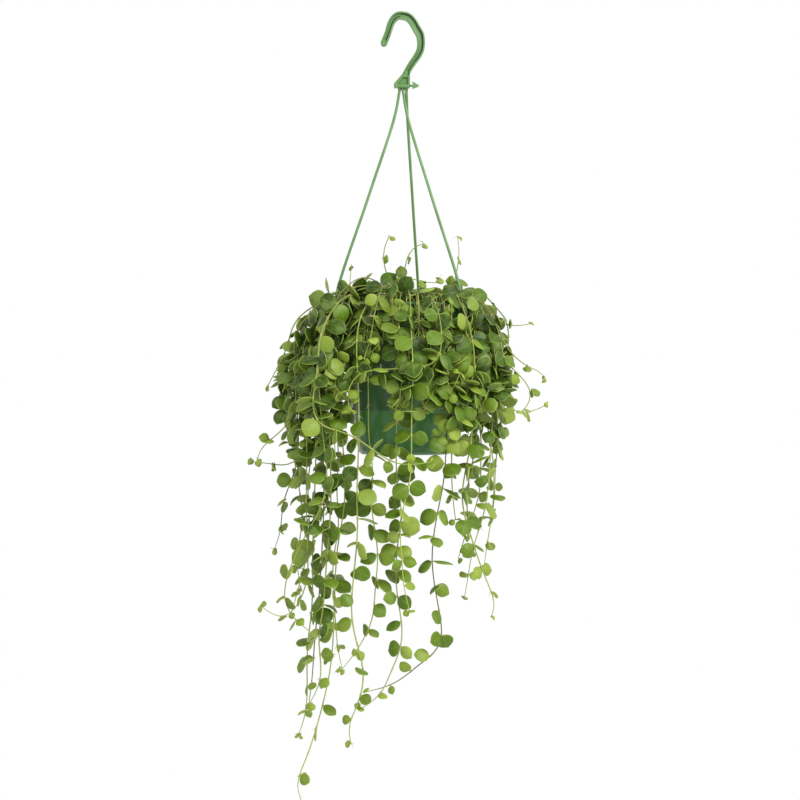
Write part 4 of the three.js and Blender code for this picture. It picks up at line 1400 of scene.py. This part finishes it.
def hook_stations():
    """Where each section of the hook sits: its place, way, half width and share of the line."""
    spans = len(HOOK_LINE) - 1
    stations = []
    for step in range(HOOK_STEPS + 1):
        share = step / HOOK_STEPS
        x, z, _ = curve_at(HOOK_LINE, share * spans)
        ahead = curve_at(HOOK_LINE, min(share + 0.004, 1) * spans)
        behind = curve_at(HOOK_LINE, max(share - 0.004, 0) * spans)
        along = Vector((ahead[0] - behind[0], ahead[1] - behind[1])).normalized()
        half = HOOK_WIDTH / 2 - HOOK_NARROWING * (math.cos(2 * math.pi * share) + 1) / 2
        stations.append((x, z, along, half, share))
    x, z, along, half, _ = stations[0]
    tips = []
    for angle in HOOK_TIP_ANGLES:
        turn = math.radians(angle)
        back = half * math.sin(turn)
        tips.append((x - along.x * back, z - along.y * back, along, half * math.cos(turn), -1))
    return tips + stations


def build_hook(form):
    hollow = form.verts.layers.float.new("hollow")
    rings = []
    for x, z, along, half, share in hook_stations():
        depth = POCKET_DEPTH if POCKET_SPAN[0] < share < POCKET_SPAN[1] else 0.02
        pocket = max(min(half - FLANGE, half * 0.6), half * 0.2)
        ring = []
        for sideways, y in hook_section(half, pocket, depth):
            vert = form.verts.new((x - along.y * sideways, y, z + along.x * sideways))
            # Painted shade down in the groove, darkest along its right wall
            if depth > 1 and abs(y) < HOOK_DEPTH / 2 - depth + 0.3 and abs(sideways) < half - 1:
                right = -along.y * sideways > 0.1
                vert[hollow] = 1.0 if right else 0.3 if abs(sideways) > 0.1 else 0.12
            ring.append(vert)
        rings.append(ring)
    for first, second in zip(rings, rings[1:]):
        add_band(form, first, second)
    form.faces.new(rings[0][::-1])
    form.faces.new(rings[-1])
    add_foot(form)
    add_plate(form, BARB, BARB_DEPTH, BARB_EASE)
    low, high = BASE_BOTTOM_Z - NUB_LENGTH, BASE_BOTTOM_Z + 0.5
    nub = [(0, low), (NUB_RADIUS - 0.3, low), (NUB_RADIUS, low + 0.3), (NUB_RADIUS + 0.15, high),
           (0, high)]
    for x in STRAND_TOPS.values():
        moved(add_lathe(form, nub, NUB_SIDES), (x, 0, 0))


def ease_edges(form, edges, offset):
    bmesh.ops.bevel(form, geom=edges, offset=offset, segments=2, profile=0.5, affect="EDGES")


def add_plate(form, outline, depth, ease):
    """A flat plate with this outline in X and Z, with eased edges."""
    front = [form.verts.new((x, -depth / 2, z)) for x, z in outline]
    back = [form.verts.new((x, depth / 2, z)) for x, z in outline]
    faces = [form.faces.new(front), form.faces.new(back[::-1])] + add_band(form, back, front)
    ease_edges(form, list({edge for face in faces for edge in face.edges}), ease)


def add_foot(form):
    """The hook's three-cornered foot, with a pocket in each face."""
    front = HOOK_DEPTH / 2
    faces = []
    sides = []
    for way in (-1, 1):
        face_loop, lip, floor = (
            [form.verts.new((x, way * y, z)) for x, z in outline]
            for outline, y in ((FOOT, front), (FOOT_POCKET, front),
                               (FOOT_POCKET, front - POCKET_DEPTH)))
        sides.append(face_loop)
        faces += add_band(form, face_loop, lip) + add_band(form, lip, floor)
        faces.append(form.faces.new(floor))
    faces += add_band(form, *sides)
    ease_edges(form, [edge for edge in {edge for face in faces for edge in face.edges}
                      if len(edge.link_faces) == 2 and edge.calc_face_angle(0) > 0.4],
               FOOT_EASE)


STRAND_STEPS = 60
STRAND_SIDES = 12
BUTTON_STEP = 18


def build_strand(form, name):
    """A strand with the round button that holds it under its lug."""
    route = strand_points(name)
    spans = len(route) - 1
    line = [curve_at(route, spans * step / STRAND_STEPS) for step in range(STRAND_STEPS + 1)]
    points, faces = tube(line, [STRAND_RADIUS] * len(line), STRAND_SIDES)
    verts = [form.verts.new(point) for point in points.tolist()]
    for face in faces:
        form.faces.new([verts[corner] for corner in face])
    middle = -RIM_THICKNESS - BUTTON_GAP - BUTTON_RADIUS
    profile = [(0, middle - BUTTON_RADIUS)]
    profile += [(BUTTON_RADIUS * math.sin(math.radians(angle)),
                 middle - BUTTON_RADIUS * math.cos(math.radians(angle)))
                for angle in range(BUTTON_STEP, 180, BUTTON_STEP)]
    profile.append((0, middle + BUTTON_RADIUS))
    moved(add_lathe(form, profile, BUTTON_SIDES), strand_spot(name))


# Stage: each light's place, size and power, what they aim at, the floor and the camera
LIGHTS = {"key_light": ((1.3, -1.5, 0.9), 0.8, 48), "fill_light": ((-1.6, -1.7, -0.1), 1.4, 6)}
AIM = Vector((0, 0, -0.42))
FLOOR_Z = -1.2
FLOOR_RADIUS = 1.4
CAMERA_PLACE = (-0.0027, -2.378, -0.407)
LENS = 100
SENSOR = 36


def studio():
    world = bpy.data.worlds.new("white_studio")
    bpy.context.scene.world = world
    world.use_nodes = True
    sky = world.node_tree.nodes["Background"]
    sky.inputs["Color"].default_value = (1, 1, 1, 1)
    sky.inputs["Strength"].default_value = 1.0
    bpy.context.scene.view_settings.view_transform = "Standard"
    for name, (place, size, power) in LIGHTS.items():
        lamp = bpy.data.lights.new(name, "AREA")
        lamp.energy, lamp.size = power, size
        light = placed(name, lamp)
        light.location = place
        light.rotation_euler = (AIM - Vector(place)).to_track_quat("-Z", "Y").to_euler()
    form = bmesh.new()
    bmesh.ops.create_circle(form, cap_ends=True, segments=96, radius=FLOOR_RADIUS)
    mesh = bpy.data.meshes.new("studio_floor")
    form.to_mesh(mesh)
    form.free()
    floor = placed("studio_floor", mesh)
    floor.location = (0, 0, FLOOR_Z)
    finish = Finish("pale_floor", Roughness=0.8)
    speck = finish.grain(finish.place(), 40, 2)
    mesh.materials.append(finish.show(
        finish.mix(speck * 0.1, srgb(240, 240, 238), srgb(224, 224, 222))))


def camera():
    lens = bpy.data.cameras.new("photo_camera")
    lens.lens, lens.sensor_width = LENS, SENSOR
    lens.clip_start, lens.clip_end = 0.05, 50
    view = placed("photo_camera", lens)
    view.location = CAMERA_PLACE
    view.rotation_euler = (math.radians(90), 0, 0)
    bpy.context.scene.camera = view


def settle(piece, slot_name, *nodes):
    """The piece hangs with the part and stands for the nodes; its slot name is not used."""
    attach(piece, "root")
    if nodes:
        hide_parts(*nodes)


def node_lengths(vine):
    count = len(vine["nodes"]) - 1
    total = lengths_along(vine["dense"])[-1]
    return [total * node / count for node in range(count + 1)]


def matched_leaves(vine):
    """Finds which way each leaf of the part's own vine was turned, by its tip.

    Returns these leaves, and the traits of the leaves that the part leaves out."""
    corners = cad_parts[vine["name"]].data.vertices
    tree = KDTree(len(corners))
    for corner in corners:
        tree.insert(corner.co * 1000 - Vector((POT_X, 0, RIM_Z)), corner.index)
    tree.balance()
    draw = draws_from(vine["seed"])
    last = len(vine["nodes"]) - 1
    found, spare = {}, {}
    low, high = vine["bare"]
    for node in range(1, last + 1):
        pair = [leaf_traits(draw, node, last), leaf_traits(draw, node, last)]
        turn = (node >> 1) % 2
        z = vine["nodes"][node][2]
        leafless = (pair[turn]["bare"] or low < z < high
                    or (node % LEAFLESS_EVERY == 0 and node < last - 1))
        taken = None
        if not leafless:
            for spin in SPIN_CHOICES:
                pose = leaf_pose(vine["nodes"], node, -1 if turn else 1, pair[turn], spin)
                tip = pose["here"] + pose["direction"] * (LEAF_LENGTH * pose["size"] - LEAF_SUNK)
                if tree.find(tip)[2] < TIP_MATCH:
                    found[node] = [pose]
                    taken = turn
                    break
        if not low < z < high:
            spare[node] = [(index, pair[index]) for index in (0, 1) if index != taken]
    return found, spare


def varied(traits, draw):
    """The same leaf, turned more freely, as leaves between others are."""
    return dict(traits, spin=traits["spin"] + draw(-FREER_SPIN, FREER_SPIN),
                roll=traits["roll"] * FREER_ROLL,
                droop=traits["droop"] + draw(-FREER_DROOP, FREER_DROOP))


def best_pose(crowd, vine, owner, node, side, traits):
    """The way to turn this leaf that cuts least through its neighbours."""
    least = ALLOWED_CUT
    upright = vine.get("family") == "crown"
    allowance = VINES_ABOVE_CREST if "family" in vine else 0
    best = None
    for roll, droop in LEAF_TILTS:
        tilted = dict(traits, roll=traits["roll"] + roll, droop=traits["droop"] + droop)
        for spin in SPIN_CHOICES:
            pose = leaf_pose(vine["nodes"], node, side, tilted, spin)
            cuts = crowd.overlap(pose, owner)
            if not upright:
                tip = pose["here"] + pose["direction"] * LEAF_LENGTH * pose["size"]
                cuts += CREST_COST * max(0.0, tip[2] - allowance - crest_height(tip))
            if cuts < least:
                least, best = cuts, pose
                if cuts <= 0:
                    return best
    return best


def grow_leaf(crowd, vine, owner, node, side, traits):
    """Adds this leaf to the vine where there is room for it."""
    best = best_pose(crowd, vine, owner, node, side, traits)
    if best is not None:
        vine["extra"].setdefault(node, []).append(best)
        crowd.add(best)


def fill_vines(crowd, plans):
    """The leaves that the part leaves out of its vines; fewer grow far down."""
    for owner, vine in enumerate(plans):
        vine["extra"] = {}
        draw = draws_from(EXTRA_SEED + owner)
        for node, choices in vine["spare"].items():
            here = vine["nodes"][node]
            keep = float(np.interp(-here[2], KEEP_DEPTHS, KEEP_SHARES))
            for index, traits in choices:
                traits = varied(traits, draw)
                if in_soil(here) or draw(0, 1) > keep:
                    continue
                if vine["family"] == "crown" and here[2] > BARE_TIPS_FROM:
                    continue
                grow_leaf(crowd, vine, owner, node, -1 if index else 1, traits)


def fill_sprigs(crowd, sprigs, first_owner):
    """A pair of leaves at each node of every sprig, where there is room."""
    for number, vine in enumerate(sprigs):
        draw = draws_from(SPRIG_LEAF_SEED + number)
        last = len(vine["nodes"]) - 1
        for node in range(1, last + 1):
            for side in (1, -1):
                traits = varied(leaf_traits(draw, node + 1, last + 2), draw)
                if not in_soil(vine["nodes"][node]):
                    grow_leaf(crowd, vine, first_owner + number, node, side, traits)


def dress_vines(plans, finishes):
    """One fine vine for each vine of the part."""
    for vine in plans:
        draw = draws_from(vine["seed"] + DRESSING_SEED)
        growth = Growth()
        shade = draw(0, 0.4)
        # Painted shade: the stems of vines that hang in shade are painted fully dark
        if vine["name"] in SHADED_VINES:
            shade = 1.0
        growth.stem(vine["dense"], node_lengths(vine), draw(0.6, 0.76), shade)
        grow_nodes(growth, vine, draw, vine["found"])
        settle(growth.piece(vine["name"] + "_fine", finishes), "vine", vine["name"])


def dress_sprigs(sprigs, finishes):
    """One piece for the sprigs of each side."""
    for side in ("crown", "front", "left", "right", "back"):
        growth = Growth()
        for number, vine in enumerate(sprigs):
            if vine["side"] == side:
                draw = draws_from(SPRIG_DRESSING_SEED + number)
                growth.stem(vine["dense"], node_lengths(vine), draw(0.55, 0.7), draw(0, 0.4))
                grow_nodes(growth, vine, draw, {})
        settle(growth.piece(side + "_sprigs", finishes), "vine")


def main():
    finishes = [leaf_finish(), stem_finish(), root_finish()]
    pot_green, hanger_green = pot_finish(), hanger_finish()
    plans = vine_plans()
    sprigs = planned_sprigs()
    strands = [dense_points(strand_points(name)) for name in STRANDS]
    crowd = Crowd([vine["dense"] for vine in plans + sprigs] + strands)
    for vine in plans:
        vine["found"], vine["spare"] = matched_leaves(vine)
        for poses in vine["found"].values():
            for pose in poses:
                crowd.add(pose)
    fill_vines(crowd, plans)
    fill_sprigs(crowd, sprigs, len(plans))
    dress_vines(plans, finishes)
    dress_sprigs(sprigs, finishes)
    pot = mesh_piece("pot_shell", build_pot, pot_green)
    cut_away(pot, mesh_piece("drain_tool", build_drains, pot_green))
    settle(pot, "pot_plastic", "pot")
    settle(mesh_piece("potting_soil", build_soil, [soil_finish(), crumb_finish()]), "soil",
           "soil")
    settle(mesh_piece("hook_moulding", build_hook, hanger_green, lift=False),
           "hanger_plastic", "hanger_hook")
    for name in STRANDS:
        piece = mesh_piece(f"{name}_strand_moulding", lambda form: build_strand(form, name),
                           hanger_green)
        settle(piece, "hanger_plastic", f"hanger_strand_{name}")
    camera()
    studio()


main()
